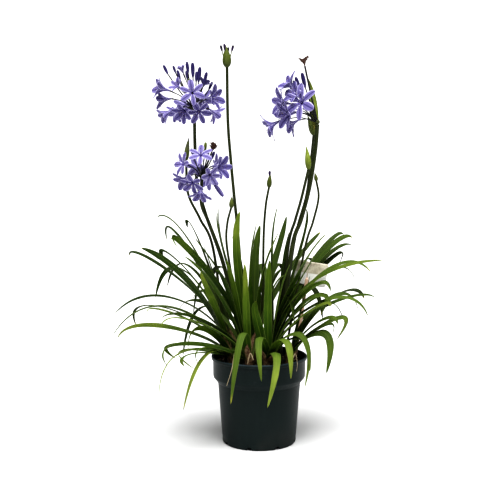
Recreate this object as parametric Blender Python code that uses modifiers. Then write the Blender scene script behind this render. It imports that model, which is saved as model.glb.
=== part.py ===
"""Agapanthus in a nursery pot: pot, soil, plant label, leaf fans, flower stems and flower heads.

Metres, +Z up, origin at the middle of the pot's base. The front of the plant faces -Y.
Places across and up are given in centimetres on the upright plane through the pot's axis, as they
are judged by eye from the front, with a depth behind (+) or before (-) that plane.
"""
import math
import random

import bmesh
import bpy
from mathutils import Matrix, Vector
from mathutils.bvhtree import BVHTree

CM = 0.01
MM = 0.001

# The point from which the places on the front plane were judged
EYE = Vector((0.0, -2.40, 0.755))

# Pot: a thin moulded nursery pot of 7 litres
POT_STEPS = 32
POT_HEIGHT = 0.220
RIM_RADIUS = 0.120
LIP_HEIGHT = 0.008
COLLAR_RADIUS = 0.1158
COLLAR_FOOT = 0.167
BODY_TOP = 0.152
BODY_TOP_RADIUS = 0.1035
BASE_RADIUS = 0.0925
POT_WALL = 0.0018
FLOOR = 0.0025
NOTCHES = 8
NOTCH_WIDTH = 0.014
NOTCH_HEIGHT = 0.007

# Soil and the holes that things stand in
GAP = 0.0003
SOIL_LEVEL = 0.200
SOIL_BUMP = 0.0025
HOLE_BOTTOM = 0.165
NECK_RADIUS = 0.0098
NECK_HOLE_RADIUS = 0.0115
SCAPE_HOLE_RADIUS = 0.0062
STAKE_HOLE_RADIUS = 0.0066

# Necks of the leaf fans: place across and in depth, in centimetres, and height of the neck
NECKS = {
    "left_front": (-6.5, -3.0, 4.5),
    "left_back": (-6.5, 2.2, 5.5),
    "front_left": (-2.5, -6.0, 4.0),
    "middle": (-2.0, -1.2, 6.0),
    "back": (-1.4, 4.4, 6.0),
    "front_right": (2.2, -5.2, 4.5),
    "right": (2.8, -0.4, 5.5),
    "right_back": (3.2, 5.2, 5.0),
    "far_right": (7.2, -2.6, 4.5),
}

# Leaves seen from the front. Each row: width in mm, roll of the blade in degrees, the point that the
# leaf passes (across, up), its tip (across, up), and the depth of the tip; places in centimetres.
LEAVES = {
    "left_front": [
        (19, 50, (-19.0, 42.4), (-29.4, 49.0), -6),
        (14, 25, (-22.6, 34.4), (-37.0, 26.5), -9),
        (17, 40, (-24.5, 29.6), (-35.6, 26.1), -13),
        (12, 20, (-22.0, 32.9), (-27.8, 32.1), -15),
        (14, 30, (-19.2, 22.9), (-25.3, 9.4), -15),
        (16, 45, (-14.6, 29.0), (-17.8, 22.1), -13),
        (13, 10, (-13.0, 22.5), (-19.2, 7.6), -18),
        (12, 35, (-18.6, 23.4), (-16.3, 18.3), -9),
        (12, 15, (-16.5, 22.4), (-18.8, 19.0), -19),
        (15, 30, (-11.6, 36.0), (-14.6, 43.0), -8),
    ],
    "left_back": [
        (14, 25, (-18.0, 51.9), (-25.3, 56.6), 6),
        (14, 26, (-19.4, 51.6), (-22.9, 50.8), 1),
        (13, 35, (-24.6, 44.9), (-32.2, 47.0), 1),
        (14, 30, (-22.0, 36.7), (-36.2, 32.4), 3),
        (12, 20, (-25.3, 34.4), (-30.7, 29.1), 8),
        (13, 40, (-20.8, 46.4), (-23.4, 45.2), 12),
        (13, 25, (-20.6, 25.0), (-21.0, 21.0), 6),
        (13, 30, (-15.4, 52.0), (-17.8, 54.0), 10),
        (15, 25, (-10.8, 41.0), (-13.8, 49.6), 5),
    ],
    "front_left": [
        (16, 5, (-4.3, 27.3), (-7.2, 9.1), -19),
        (15, 10, (-16.4, 30.8), (-24.6, 29.4), -19),
        (13, 25, (-12.8, 24.0), (-15.4, 19.6), -14),
        (14, 30, (-15.6, 31.6), (-24.8, 31.0), -17),
        (18, 15, (-8.0, 39.6), (-11.0, 43.1), -9),
        (13, 40, (-19.2, 25.0), (-22.7, 18.4), -17),
        (15, 20, (-11.5, 40.0), (-18.6, 46.9), -11),
        (16, 30, (-5.8, 37.0), (-8.2, 46.0), -8),
        (15, -20, (-3.2, 36.0), (-3.6, 45.0), -10),
    ],
    "middle": [
        (17, 10, (-5.5, 47.0), (-4.8, 58.0), -5),
        (16, 25, (-8.6, 48.0), (-10.3, 57.8), -3),
        (18, 60, (-2.4, 44.0), (-0.6, 55.3), -6),
        (15, 35, (-17.6, 48.9), (-20.4, 49.2), -4),
        (15, 20, (0.6, 42.0), (4.9, 53.1), -7),
        (16, 30, (-4.4, 42.0), (-6.6, 52.0), -7),
    ],
    "back": [
        (17, 15, (-8.0, 46.0), (-10.0, 59.4), 7),
        (16, 20, (-1.0, 45.0), (0.2, 54.7), 10),
        (15, 30, (-11.0, 45.0), (-15.8, 51.4), 13),
        (15, 25, (3.8, 46.0), (6.7, 56.9), 12),
        (14, 15, (9.0, 46.0), (15.1, 53.0), 17),
    ],
    "front_right": [
        (15, 5, (0.1, 26.4), (0.6, 15.1), -19),
        (16, 10, (4.4, 21.6), (2.1, 8.3), -19),
        (17, 0, (6.4, 26.0), (8.0, 15.8), -17),
        (17, 70, (-0.8, 31.4), (-0.8, 35.6), -8),
        (15, 25, (9.4, 27.6), (12.8, 17.6), -13),
        (15, 20, (13.0, 33.7), (17.6, 34.3), -14),
        (12, 15, (10.6, 26.4), (11.5, 13.6), -17),
        (16, 35, (4.6, 36.0), (7.6, 45.0), -8),
        (15, -25, (2.2, 36.0), (2.6, 46.0), -7),
    ],
    "right": [
        (19, 10, (2.9, 47.0), (4.5, 59.4), 0),
        (19, 35, (11.6, 46.4), (16.0, 51.8), -3),
        (15, 35, (13.6, 41.2), (30.7, 46.0), -5),
        (16, 30, (12.8, 39.1), (17.8, 38.2), -8),
        (15, 25, (17.2, 36.4), (27.2, 31.9), -9),
        (13, 25, (14.4, 36.9), (15.3, 32.0), -12),
        (16, -30, (5.6, 42.0), (7.4, 53.0), -2),
        (15, 30, (9.4, 40.0), (13.4, 47.0), -6),
    ],
    "right_back": [
        (15, 30, (15.8, 47.8), (23.1, 51.5), 6),
        (14, 30, (17.0, 43.8), (27.7, 43.0), 3),
        (14, 30, (16.0, 49.4), (20.8, 51.2), 10),
        (15, 20, (15.4, 46.0), (23.0, 49.6), 13),
        (14, 25, (10.2, 49.6), (11.5, 58.7), 5),
        (13, 20, (19.0, 35.8), (28.8, 36.6), 8),
        (12, 25, (17.3, 46.1), (19.6, 44.6), 16),
    ],
    "far_right": [
        (18, 40, (15.8, 27.8), (16.9, 17.2), -11),
        (14, 30, (19.6, 31.6), (19.4, 25.9), -7),
        (13, 30, (15.4, 31.0), (19.6, 29.9), -10),
        (13, 20, (16.3, 29.8), (18.2, 27.0), -1),
        (14, 25, (18.4, 37.0), (24.8, 33.0), 3),
        (13, 20, (15.6, 35.0), (21.4, 30.0), 9),
        (15, 30, (10.4, 34.0), (12.6, 42.0), -6),
    ],
}

# Leaves of the back and the inside, drawn by a seeded rule: how many more each fan has
MORE_LEAVES = {
    "left_back": 2,
    "front_left": 2,
    "back": 7,
    "front_right": 2,
    "right": 2,
    "right_back": 5,
    "far_right": 1,
    "left_front": 1,
}
LEAF_SEED = 11
LEAF_SEGMENTS = 7
LEAF_BREADTH = 1.25
LEAF_THICKNESS = 1.3 * MM
LEAF_CHANNEL = 0.16
LEAF_ROOT_DEPTH = 2.6 * CM
LEAF_ROOT_REACH = 4.5 * MM
PASS_DEPTH_SHARE = 0.58
RISE_UP = 0.62
RISE_OUT = 0.10

# How a leaf is cleared of what stands already: the gap kept, tries in all, tries in which it also has
# to miss its own fan's blades, steps of its tip's depth in centimetres and of its roll in degrees
CLEARANCE = 0.5 * MM
TRIES = 90
STRICT_TRIES = 70
DEPTH_STEP = 0.55
ROLL_STEP = 4
BLADE_FIRST = 8

# Flower stems: hole in the soil (across, depth), radius in mm, points (across, up), depth of the top
SCAPES = {
    "a": ((-4.4, 6.4), 3.9, [(-9.0, 45.0), (-13.3, 57.5), (-15.4, 66.0), (-15.8, 74.0), (-15.9, 82.4)], 6),
    "b": ((-3.6, 1.6), 3.4, [(-5.0, 49.0), (-6.3, 62.8), (-7.0, 70.5), (-7.7, 80.0), (-7.9, 93.4)], 2),
    "c": ((-4.3, -0.9), 3.9, [(-8.6, 44.0), (-12.4, 55.0), (-14.3, 60.0), (-14.2, 66.0)], -4),
    "d": ((-4.4, -3.6), 2.6, [(-6.6, 40.0), (-8.1, 50.0), (-7.9, 55.2), (-6.9, 59.2)], -5),
    "e": ((0.4, 1.7), 2.7, [(0.9, 40.0), (1.1, 52.5), (1.6, 59.6), (2.4, 64.2)], 2),
    "f": ((5.2, -2.6), 4.6, [(8.0, 48.4), (10.4, 56.3), (12.4, 64.3), (13.7, 73.0), (14.2, 79.4)], -3),
    "g": ((4.7, 0.6), 3.2, [(7.1, 48.8), (8.9, 56.0), (10.3, 61.0), (12.1, 68.6)], -7),
    "h": ((7.0, 0.8), 2.6, [(11.2, 48.4), (13.3, 55.6), (14.6, 61.5), (14.0, 65.8)], 7),
    "i": ((-8.4, -0.4), 3.0, [(-11.4, 48.5), (-14.7, 56.3), (-17.6, 62.6), (-18.0, 70.8)], 1),
    "j": ((5.6, 2.9), 3.0, [(8.6, 50.0), (11.6, 62.0), (12.7, 71.0), (13.3, 77.0)], 2),
}

# Closed bud heads on those stems: length and width in mm, lean of the tip (across, up), purple buds
BUD_HEADS = {
    "b": (56, 21, (-0.02, 1.0), 5),
    "d": (30, 12, (0.02, 1.0), 0),
    "e": (38, 13, (0.06, 1.0), 1),
    "g": (60, 15, (-0.08, 1.0), 0),
    "h": (24, 10, (-0.16, 1.0), 0),
    "i": (62, 12, (0.10, 1.0), 0),
    "j": (54, 17, (-0.30, 1.0), 0),
}

# Florets of the three open heads: place of the mouth from the knob (across, up, depth) in
# centimetres, how far it is open (1 is a flat star), and its size
FLORETS = {
    "a": [
        (-8.2, 5.2, -1.0, 0.30, 1.15),
        (-8.0, 2.6, 1.2, 0.30, 1.10),
        (-4.0, 5.7, -3.2, 0.40, 0.75),
        (-0.1, 4.0, -6.6, 1.00, 1.0),
        (2.4, 6.6, 1.6, 0.45, 0.80),
        (4.9, 2.9, -2.4, 0.40, 1.15),
        (-2.4, -0.8, -5.4, 0.35, 1.0),
        (1.5, -0.9, -5.0, 0.80, 1.0),
        (-6.8, -1.1, -2.6, 0.05, 1.0),
        (-3.0, 9.8, -0.6, 0.05, 0.60),
        (5.0, -0.8, 3.6, 0.50, 1.0),
        (-3.0, 1.0, 6.4, 0.60, 1.0),
        (1.8, 2.6, 6.6, 0.60, 1.0),
        (-5.0, -0.6, 4.4, 0.45, 0.95),
    ],
    "c": [
        (0.0, 5.6, -3.6, 1.00, 1.0),
        (-4.6, 3.2, -2.8, 0.85, 1.0),
        (4.8, 2.3, -2.8, 0.45, 1.15),
        (-4.4, -0.8, -2.4, 0.45, 1.05),
        (-2.0, -1.6, -5.0, 0.80, 1.0),
        (-0.2, -4.0, -2.6, 0.40, 1.1),
        (2.4, 0.4, -5.0, 0.60, 0.9),
        (3.6, 2.8, 3.2, 0.60, 0.95),
        (-1.6, 2.2, 4.6, 0.60, 0.95),
        (1.4, -1.0, 5.4, 0.60, 0.95),
    ],
    "f": [
        (-7.0, 9.0, -0.6, 0.50, 1.05),
        (-9.0, 4.6, -1.8, 0.55, 1.15),
        (-4.6, 4.6, -5.6, 1.00, 1.25),
        (-7.6, 1.6, -3.6, 0.50, 1.15),
        (-11.4, -1.0, 0.4, 0.55, 1.15),
        (-6.4, -0.6, -1.2, 0.50, 0.95),
        (-6.4, 6.4, 3.2, 0.60, 1.0),
        (-7.0, 2.2, 2.2, 0.60, 1.0),
        (-5.6, 6.6, -3.4, 0.55, 0.95),
        (-8.4, 3.4, 2.6, 0.55, 1.0),
    ],
}

# Buds of the open heads: tip from the knob (across, up, depth) in centimetres, length in mm
BUDS = {
    "a": [
        (-7.7, 11.0, 0.5, 26), (-5.1, 10.7, -1.6, 20), (-1.9, 11.9, 1.2, 30), (-0.3, 11.5, -1.2, 38),
        (1.4, 10.6, 1.0, 40), (3.2, 9.2, -0.8, 32), (-4.4, 9.9, 2.4, 26), (0.4, 9.6, 3.2, 28),
        (4.4, 7.0, 2.6, 24), (-2.2, 9.8, 3.0, 24),
    ],
    "c": [
        (1.8, 6.6, -1.0, 22), (3.2, 6.1, -2.2, 22), (3.0, 8.0, 0.8, 24), (5.3, -4.7, -1.8, 44),
        (-2.6, 6.8, 1.4, 22), (3.4, -1.4, -2.2, 30), (3.6, -2.6, 2.2, 26),
    ],
    "f": [
        (-5.4, 10.6, -1.2, 34), (-3.9, 11.6, -1.4, 38), (-3.5, 15.2, -0.6, 22), (-5.8, 10.0, 2.0, 26),
    ],
}
KNOB_RADIUS = 5.6 * MM
STALK_ROOT = KNOB_RADIUS * 0.74
PEDICEL_RADIUS = 1.0 * MM

# Florets: funnel and six tepals in two whorls
TUBE_LENGTH = 15.5 * MM
THROAT_RADIUS = 5.4 * MM
TEPAL_LENGTH = 25 * MM
TEPAL_WIDTH = 10.0 * MM
TEPAL_THICKNESS = 1.2 * MM

# Big bract that stands open beside the right head: foot, belly and tip (across, up, depth) of its
# keel, width of its near arm, and the ways (across, depth) of its near and its far arm
BRACT = ((14.4, 78.2, -2.75), (14.7, 86.8, 0.5), (11.1, 91.6, -0.6))
BRACT_WIDTH = 21 * MM
BRACT_ARMS = ((-1.0, -0.2), (-0.5, 0.45))
BRACT_THICKNESS = 1.6 * MM

# Plant label: a bare bent card on a stake
STAKE_FOOT = (8.6, 3.6)
STAKE_TOP = (11.9, 41.6)
STAKE_DEPTH = 5.2
STAKE_WIDTH = 9 * MM
STAKE_THICKNESS = 1.2 * MM
CARD_CENTRE = (12.6, 42.6)
CARD_SIZE = (0.084, 0.060)
CARD_BEND = 0.012
CARD_THICKNESS = 1.0 * MM


def clear_scene():
    for old in list(bpy.data.objects):
        bpy.data.objects.remove(old, do_unlink=True)


def new_collection(name):
    group = bpy.data.collections.new(name)
    bpy.context.scene.collection.children.link(group)
    return group


def make_material(name, colour, roughness, metallic=0.0):
    material = bpy.data.materials.new(name)
    material.use_nodes = True
    shader = material.node_tree.nodes["Principled BSDF"]
    shader.inputs["Base Color"].default_value = (*colour, 1.0)
    shader.inputs["Roughness"].default_value = roughness
    shader.inputs["Metallic"].default_value = metallic
    return material


def place(across, up, depth):
    """Point seen from the eye at (across, up) on the front plane, moved to its depth along that
    line of sight. All three in centimetres."""
    on_plane = Vector((across * CM, 0.0, up * CM))
    return EYE + (on_plane - EYE) * ((depth * CM - EYE.y) / -EYE.y)


def add_object(name, mesh, group, material=None):
    thing = bpy.data.objects.new(name, mesh)
    group.objects.link(thing)
    if material is not None:
        mesh.materials.clear()
        mesh.materials.append(material)
    return thing


def mesh_from(name, points, faces):
    mesh = bpy.data.meshes.new(name)
    mesh.from_pydata([tuple(point) for point in points], [], faces)
    form = bmesh.new()
    form.from_mesh(mesh)
    bmesh.ops.recalc_face_normals(form, faces=form.faces)
    form.to_mesh(mesh)
    form.free()
    return mesh


def evaluated_mesh(thing):
    depsgraph = bpy.context.evaluated_depsgraph_get()
    return bpy.data.meshes.new_from_object(thing.evaluated_get(depsgraph))


def fuse(name, meshes, group, material):
    """One body from a first mesh and the rest, by one Boolean union on a collection of the rest."""
    body = add_object(name, meshes[0], group, material)
    if len(meshes) > 1:
        helpers = bpy.data.collections.new(name + "_parts")
        bpy.context.scene.collection.children.link(helpers)
        for number, mesh in enumerate(meshes[1:]):
            add_object(f"{name}_part_{number}", mesh, helpers)
        union = body.modifiers.new("union", "BOOLEAN")
        union.operation = "UNION"
        union.operand_type = "COLLECTION"
        union.collection = helpers
        union.solver = "EXACT"
        fused = evaluated_mesh(body)
        body.modifiers.remove(union)
        old = body.data
        body.data = fused
        bpy.data.meshes.remove(old)
        for helper in list(helpers.objects):
            bpy.data.objects.remove(helper, do_unlink=True)
        bpy.data.collections.remove(helpers)
        drop_scraps(fused)
        fused.materials.clear()
        fused.materials.append(material)
    return body


def drop_scraps(mesh):
    """Keeps the largest body of a fused mesh, as what else is left are slivers and sealed specks."""
    form = bmesh.new()
    form.from_mesh(mesh)
    unseen = set(form.verts)
    bodies = []
    while unseen:
        front = [unseen.pop()]
        body = list(front)
        while front:
            here = front.pop()
            near = {edge.other_vert(here) for edge in here.link_edges} & unseen
            unseen -= near
            front += near
            body += near
        bodies.append(body)
    bodies.sort(key=len)
    for scrap in bodies[:-1]:
        bmesh.ops.delete(form, geom=scrap, context="VERTS")
    form.to_mesh(mesh)
    form.free()


def smooth_path(points, steps):
    """Points of a Catmull-Rom curve through the given ones, evenly spread between them."""
    ends = [points[0] * 2 - points[1], *points, points[-1] * 2 - points[-2]]
    path = []
    spans = len(points) - 1
    for span in range(spans):
        before, start, stop, after = ends[span:span + 4]
        for step in range(steps):
            t = step / steps
            path.append(0.5 * (2 * start + (stop - before) * t
                               + (2 * before - 5 * start + 4 * stop - after) * t * t
                               + (3 * start - before - 3 * stop + after) * t ** 3))
    path.append(points[-1].copy())
    return path


def rod(points, radii, resolution):
    """Round rod along the points: a curve with a bevel and filled caps, made a welded mesh."""
    curve = bpy.data.curves.new("rod", "CURVE")
    curve.dimensions = "3D"
    curve.bevel_depth = 1.0
    curve.bevel_resolution = resolution
    curve.use_fill_caps = True
    spline = curve.splines.new("POLY")
    spline.points.add(len(points) - 1)
    for knot, point, radius in zip(spline.points, points, radii):
        knot.co = (*point, 1.0)
        knot.radius = radius
    holder = bpy.data.objects.new("rod", curve)
    bpy.context.scene.collection.objects.link(holder)
    mesh = evaluated_mesh(holder)
    bpy.data.objects.remove(holder, do_unlink=True)
    bpy.data.curves.remove(curve)
    form = bmesh.new()
    form.from_mesh(mesh)
    bmesh.ops.remove_doubles(form, verts=form.verts, dist=0.00002)
    bmesh.ops.recalc_face_normals(form, faces=form.faces)
    form.to_mesh(mesh)
    form.free()
    return mesh


def egg(start, tip, width, sides, rings, belly):
    """Spindle from start to tip: a sphere stretched along its axis, widest at the share belly."""
    axis = tip - start
    form = bmesh.new()
    bmesh.ops.create_uvsphere(form, u_segments=sides, v_segments=rings, radius=1.0)
    turn = axis.to_track_quat("Z", "Y").to_matrix().to_4x4()
    for vertex in form.verts:
        height = (vertex.co.z + 1) / 2
        share = 1 - (1 - height) ** (math.log(1 - belly) / math.log(0.5))
        vertex.co = (vertex.co.x * width / 2, vertex.co.y * width / 2, share * axis.length)
    bmesh.ops.transform(form, matrix=Matrix.Translation(start) @ turn, verts=form.verts)
    mesh = bpy.data.meshes.new("egg")
    form.to_mesh(mesh)
    form.free()
    return mesh


def make_pot(group, material, cutters):
    """Thin turned wall with a collar and a rolled lip; notches let the water out at the foot."""
    def inner(radius):
        return radius - POT_WALL

    collar_top = POT_HEIGHT - LIP_HEIGHT
    profile = [
        (0.0, FLOOR),
        (inner(BASE_RADIUS) - 0.002, FLOOR),
        (inner(BASE_RADIUS) + 0.0002, FLOOR + 0.002),
        (inner(BODY_TOP_RADIUS), BODY_TOP + 0.0008),
        (inner(COLLAR_RADIUS - 0.0006), COLLAR_FOOT + 0.0008),
        (inner(COLLAR_RADIUS), POT_HEIGHT - 0.001),
        (COLLAR_RADIUS - 0.0008, POT_HEIGHT),
        (RIM_RADIUS - 0.0012, POT_HEIGHT),
        (RIM_RADIUS, POT_HEIGHT - 0.0014),
        (RIM_RADIUS - 0.0002, collar_top),
        (COLLAR_RADIUS, collar_top - 0.0006),
        (COLLAR_RADIUS - 0.0008, COLLAR_FOOT),
        (BODY_TOP_RADIUS, BODY_TOP),
        (BASE_RADIUS, 0.003),
        (BASE_RADIUS - 0.0018, 0.0),
        (0.0, 0.0),
    ]
    mesh = bpy.data.meshes.new("pot")
    mesh.from_pydata([(r, 0.0, z) for r, z in profile], [(i, i + 1) for i in range(len(profile) - 1)], [])
    pot = add_object("pot", mesh, group, material)
    screw = pot.modifiers.new("turn", "SCREW")
    screw.steps = POT_STEPS
    screw.render_steps = POT_STEPS
    screw.use_merge_vertices = True
    screw.merge_threshold = 0.0001
    screw.use_smooth_shade = True
    notch_set = bpy.data.collections.new("pot_notches")
    cutters.children.link(notch_set)
    for number in range(NOTCHES):
        bpy.ops.mesh.primitive_cube_add(size=1.0)
        cutter = bpy.context.active_object
        cutter.name = f"notch_cutter_{number}"
        angle = math.tau * (number + 0.5) / NOTCHES + math.radians(7)
        cutter.scale = (0.022, NOTCH_WIDTH, NOTCH_HEIGHT * 2)
        cutter.rotation_euler = (0.0, 0.0, angle)
        reach = BASE_RADIUS - 0.004
        cutter.location = (reach * math.cos(angle), reach * math.sin(angle), 0.0)
        cutter.hide_render = True
        cutter.display_type = "WIRE"
        for home in list(cutter.users_collection):
            home.objects.unlink(cutter)
        notch_set.objects.link(cutter)
    cut = pot.modifiers.new("notches", "BOOLEAN")
    cut.operation = "DIFFERENCE"
    cut.operand_type = "COLLECTION"
    cut.collection = notch_set
    return pot


def stake_ends():
    """Foot and top of the label's stake, and the way it leans. The foot stands clear of its hole."""
    hole = Vector((STAKE_FOOT[0] * CM, STAKE_FOOT[1] * CM, HOLE_BOTTOM))
    top = place(*STAKE_TOP, STAKE_DEPTH)
    lean = (top - hole).normalized()
    return hole + lean * 2.2 * MM, top, lean


def make_soil(group, material, cutters):
    """Plug of soil that fills the pot, with a rough top and a plain hole for each thing in it."""
    reach = BASE_RADIUS - POT_WALL - GAP
    top_reach = COLLAR_RADIUS - POT_WALL - GAP - 0.0006
    shoulder = BODY_TOP_RADIUS - POT_WALL - GAP
    profile = [(0.0, SOIL_LEVEL), (0.045, SOIL_LEVEL), (0.09, SOIL_LEVEL),
               (top_reach, SOIL_LEVEL - 0.003), (top_reach - 0.0002, COLLAR_FOOT + 0.0018),
               (shoulder - 0.0002, BODY_TOP + 0.0014), (reach - 0.0006, FLOOR + 0.006),
               (reach - 0.004, FLOOR + GAP), (0.0, FLOOR + GAP)]
    mesh = bpy.data.meshes.new("soil")
    mesh.from_pydata([(r, 0.0, z) for r, z in profile], [(i, i + 1) for i in range(len(profile) - 1)], [])
    soil = add_object("soil", mesh, group, material)
    screw = soil.modifiers.new("turn", "SCREW")
    screw.steps = POT_STEPS
    screw.render_steps = POT_STEPS
    screw.use_merge_vertices = True
    screw.merge_threshold = 0.0001
    turned = evaluated_mesh(soil)
    soil.modifiers.remove(screw)
    soil.data = turned
    bpy.data.meshes.remove(mesh)
    draw = random.Random(3)
    for vertex in turned.vertices:
        radius = math.hypot(vertex.co.x, vertex.co.y)
        if vertex.co.z > SOIL_LEVEL - 0.001 and radius < 0.095:
            vertex.co.z += draw.uniform(-SOIL_BUMP, SOIL_BUMP)
    turned.materials.clear()
    turned.materials.append(material)
    holes = bpy.data.collections.new("soil_holes")
    cutters.children.link(holes)
    upright = Vector((0.0, 0.0, 1.0))
    spots = [(x, y, NECK_HOLE_RADIUS, upright) for x, y, _ in NECKS.values()]
    spots += [(*foot, SCAPE_HOLE_RADIUS, upright) for foot, *_ in SCAPES.values()]
    spots.append((*STAKE_FOOT, STAKE_HOLE_RADIUS, stake_ends()[2]))
    for number, (x, y, radius, lean) in enumerate(spots):
        height = SOIL_LEVEL - HOLE_BOTTOM + 0.02
        sides = 8 if radius == NECK_HOLE_RADIUS else 6
        bpy.ops.mesh.primitive_cylinder_add(vertices=sides, radius=radius, depth=height)
        cutter = bpy.context.active_object
        cutter.name = f"hole_cutter_{number}"
        cutter.rotation_euler = lean.to_track_quat("Z", "Y").to_euler()
        cutter.location = Vector((x * CM, y * CM, HOLE_BOTTOM)) + lean * height / 2
        cutter.hide_render = True
        cutter.display_type = "WIRE"
        for home in list(cutter.users_collection):
            home.objects.unlink(cutter)
        holes.objects.link(cutter)
    cut = soil.modifiers.new("holes", "BOOLEAN")
    cut.operation = "DIFFERENCE"
    cut.operand_type = "COLLECTION"
    cut.collection = holes
    return soil


def leaf_curve(foot, rise, through, tip):
    """Cubic curve that leaves the neck upwards, passes one point at share 0.6 and ends at the tip."""
    share = 0.6
    rest = 1 - share
    lift = foot + rise
    bend = (through - foot * rest ** 3 - lift * (3 * rest * rest * share) - tip * share ** 3)
    bend = bend / (3 * rest * share * share)

    def at(t):
        s = 1 - t
        return foot * s ** 3 + lift * (3 * s * s * t) + bend * (3 * s * t * t) + tip * t ** 3

    return at


def strap_leaf(foot, rise, through, tip, width, roll, thickness, grow):
    """Keeled strap leaf as points and faces. Its section is a shallow V of four points, its width
    swells from the neck and runs out in a point at the tip. It is grown by a margin all round to test
    it for room."""
    at = leaf_curve(foot, rise, through, tip)
    out = Vector((tip.x - foot.x, tip.y - foot.y, 0.0))
    side = Vector((-out.y, out.x, 0.0)).normalized()
    points = []
    for ring in range(LEAF_SEGMENTS):
        t = ring / LEAF_SEGMENTS
        centre = at(t)
        along = (at(t + 0.01) - at(max(t - 0.01, 0.0))).normalized()
        across = side - along * side.dot(along)
        across.normalize()
        turned = Matrix.Rotation(math.radians(roll) * min(1.0, t * 1.6), 3, along) @ across
        normal = turned.cross(along)
        half = width / 2 * (0.74 + 0.26 * math.sin(math.pi * min(t * 1.15 + 0.12, 1.0)))
        half *= min(1.0, (1.0 - t) * 5.0) ** 0.6 * min(1.0, 0.4 + 3.4 * t)
        half += grow
        channel = half * 2 * LEAF_CHANNEL * (1 - 0.4 * t)
        half_thick = thickness / 2 * (1.5 - 0.6 * t) + grow
        points += [centre + turned * half + normal * channel, centre + normal * half_thick,
                   centre - turned * half + normal * channel, centre - normal * half_thick]
    points.append(tip.copy())
    faces = [(0, 1, 2, 3)]
    for ring in range(LEAF_SEGMENTS - 1):
        low = ring * 4
        high = low + 4
        for left, middle in ((0, 1), (2, 1), (0, 3), (2, 3)):
            faces.append((low + left, low + middle, high + middle))
            faces.append((low + left, high + middle, high + left))
    last = (LEAF_SEGMENTS - 1) * 4
    end = last + 4
    faces += [(last + i, last + (i + 1) % 4, end) for i in range(4)]
    return points, faces


def tree_of(points, faces, first=0):
    kept = [face for face in faces if min(face) >= first]
    return BVHTree.FromPolygons([tuple(p) for p in points], kept, epsilon=0.0)


def tree_of_object(thing):
    mesh = evaluated_mesh(thing)
    points = [thing.matrix_world @ v.co for v in mesh.vertices]
    faces = [tuple(p.vertices) for p in mesh.polygons]
    bpy.data.meshes.remove(mesh)
    return BVHTree.FromPolygons([tuple(p) for p in points], faces, epsilon=0.0)


def scape_points(name):
    foot, _, places, top_depth = SCAPES[name]
    start = Vector((foot[0] * CM, foot[1] * CM, HOLE_BOTTOM + GAP))
    low = Vector((foot[0] * CM, foot[1] * CM, SOIL_LEVEL + 0.008))
    rise = Vector((foot[0] * CM, foot[1] * CM, SOIL_LEVEL + 0.045))
    count = len(places)
    points = [rise]
    for number, (across, up) in enumerate(places):
        share = ((number + 1) / count) ** 0.9
        depth = foot[1] + (top_depth - foot[1]) * share
        points.append(place(across, up, depth))
    return [start, low, *smooth_path(points, 2)]


def make_scape(name, group, material):
    """Flower stem with a slight taper; a closed bud head grows from it in the same node."""
    _, radius, _, _ = SCAPES[name]
    path = scape_points(name)
    last = len(path) - 1
    radii = [radius * MM * (1.12 - 0.26 * number / last) for number in range(last + 1)]
    meshes = [rod(path, radii, 1)]
    top = path[-1]
    if name in BUD_HEADS:
        length, width, lean, purple = BUD_HEADS[name]
        way = Vector((lean[0], 0.0, lean[1])).normalized()
        start = top - way * 3 * MM
        meshes.append(egg(start, start + way * length * MM, width * MM, 6, 6, 0.36))
        for number in range(purple):
            angle = math.tau * number / purple + 0.4
            spread = Vector((math.cos(angle), math.sin(angle), 0.0)) * 0.30 * (purple > 1)
            root = start + way * length * MM * 0.30 + spread * 4 * MM
            tip = start + way * length * MM * (0.80 + 0.34 * (purple == 1)) + spread * 22 * MM
            meshes.append(egg(root, tip, 6.5 * MM, 5, 4, 0.6))
    if name == "f":
        meshes.append(make_bract())
    return fuse("scape_" + name, meshes, group, material)


def make_bract():
    """Boat-shaped bract beside the right head: a pointed blade folded along its keel."""
    foot, belly, tip = (place(*spot) for spot in BRACT)
    near, far = (Vector((*way, 0.0)) for way in BRACT_ARMS)
    rows = 6
    points = []
    for row in range(rows):
        t = row / rows
        centre = foot * (1 - t) ** 2 + belly * 2 * t * (1 - t) + tip * t * t
        arm = BRACT_WIDTH * (0.25 + 0.75 * math.sin(math.pi * min(t * 1.25 + 0.12, 1.0)))
        arm *= min(1.0, (1 - t) * 2.2)
        points += [centre + near * arm, centre + Vector((BRACT_THICKNESS / 2, 0, 0)),
                   centre + far * arm, centre - Vector((BRACT_THICKNESS / 2, 0, 0))]
    points.append(tip)
    faces = [(0, 1, 2, 3)]
    for row in range(rows - 1):
        low = row * 4
        high = low + 4
        for left, middle in ((0, 1), (2, 1), (0, 3), (2, 3)):
            faces.append((low + left, low + middle, high + middle))
            faces.append((low + left, high + middle, high + left))
    last = (rows - 1) * 4
    faces += [(last + i, last + (i + 1) % 4, last + 4) for i in range(4)]
    return mesh_from("bract", points, faces)


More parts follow.
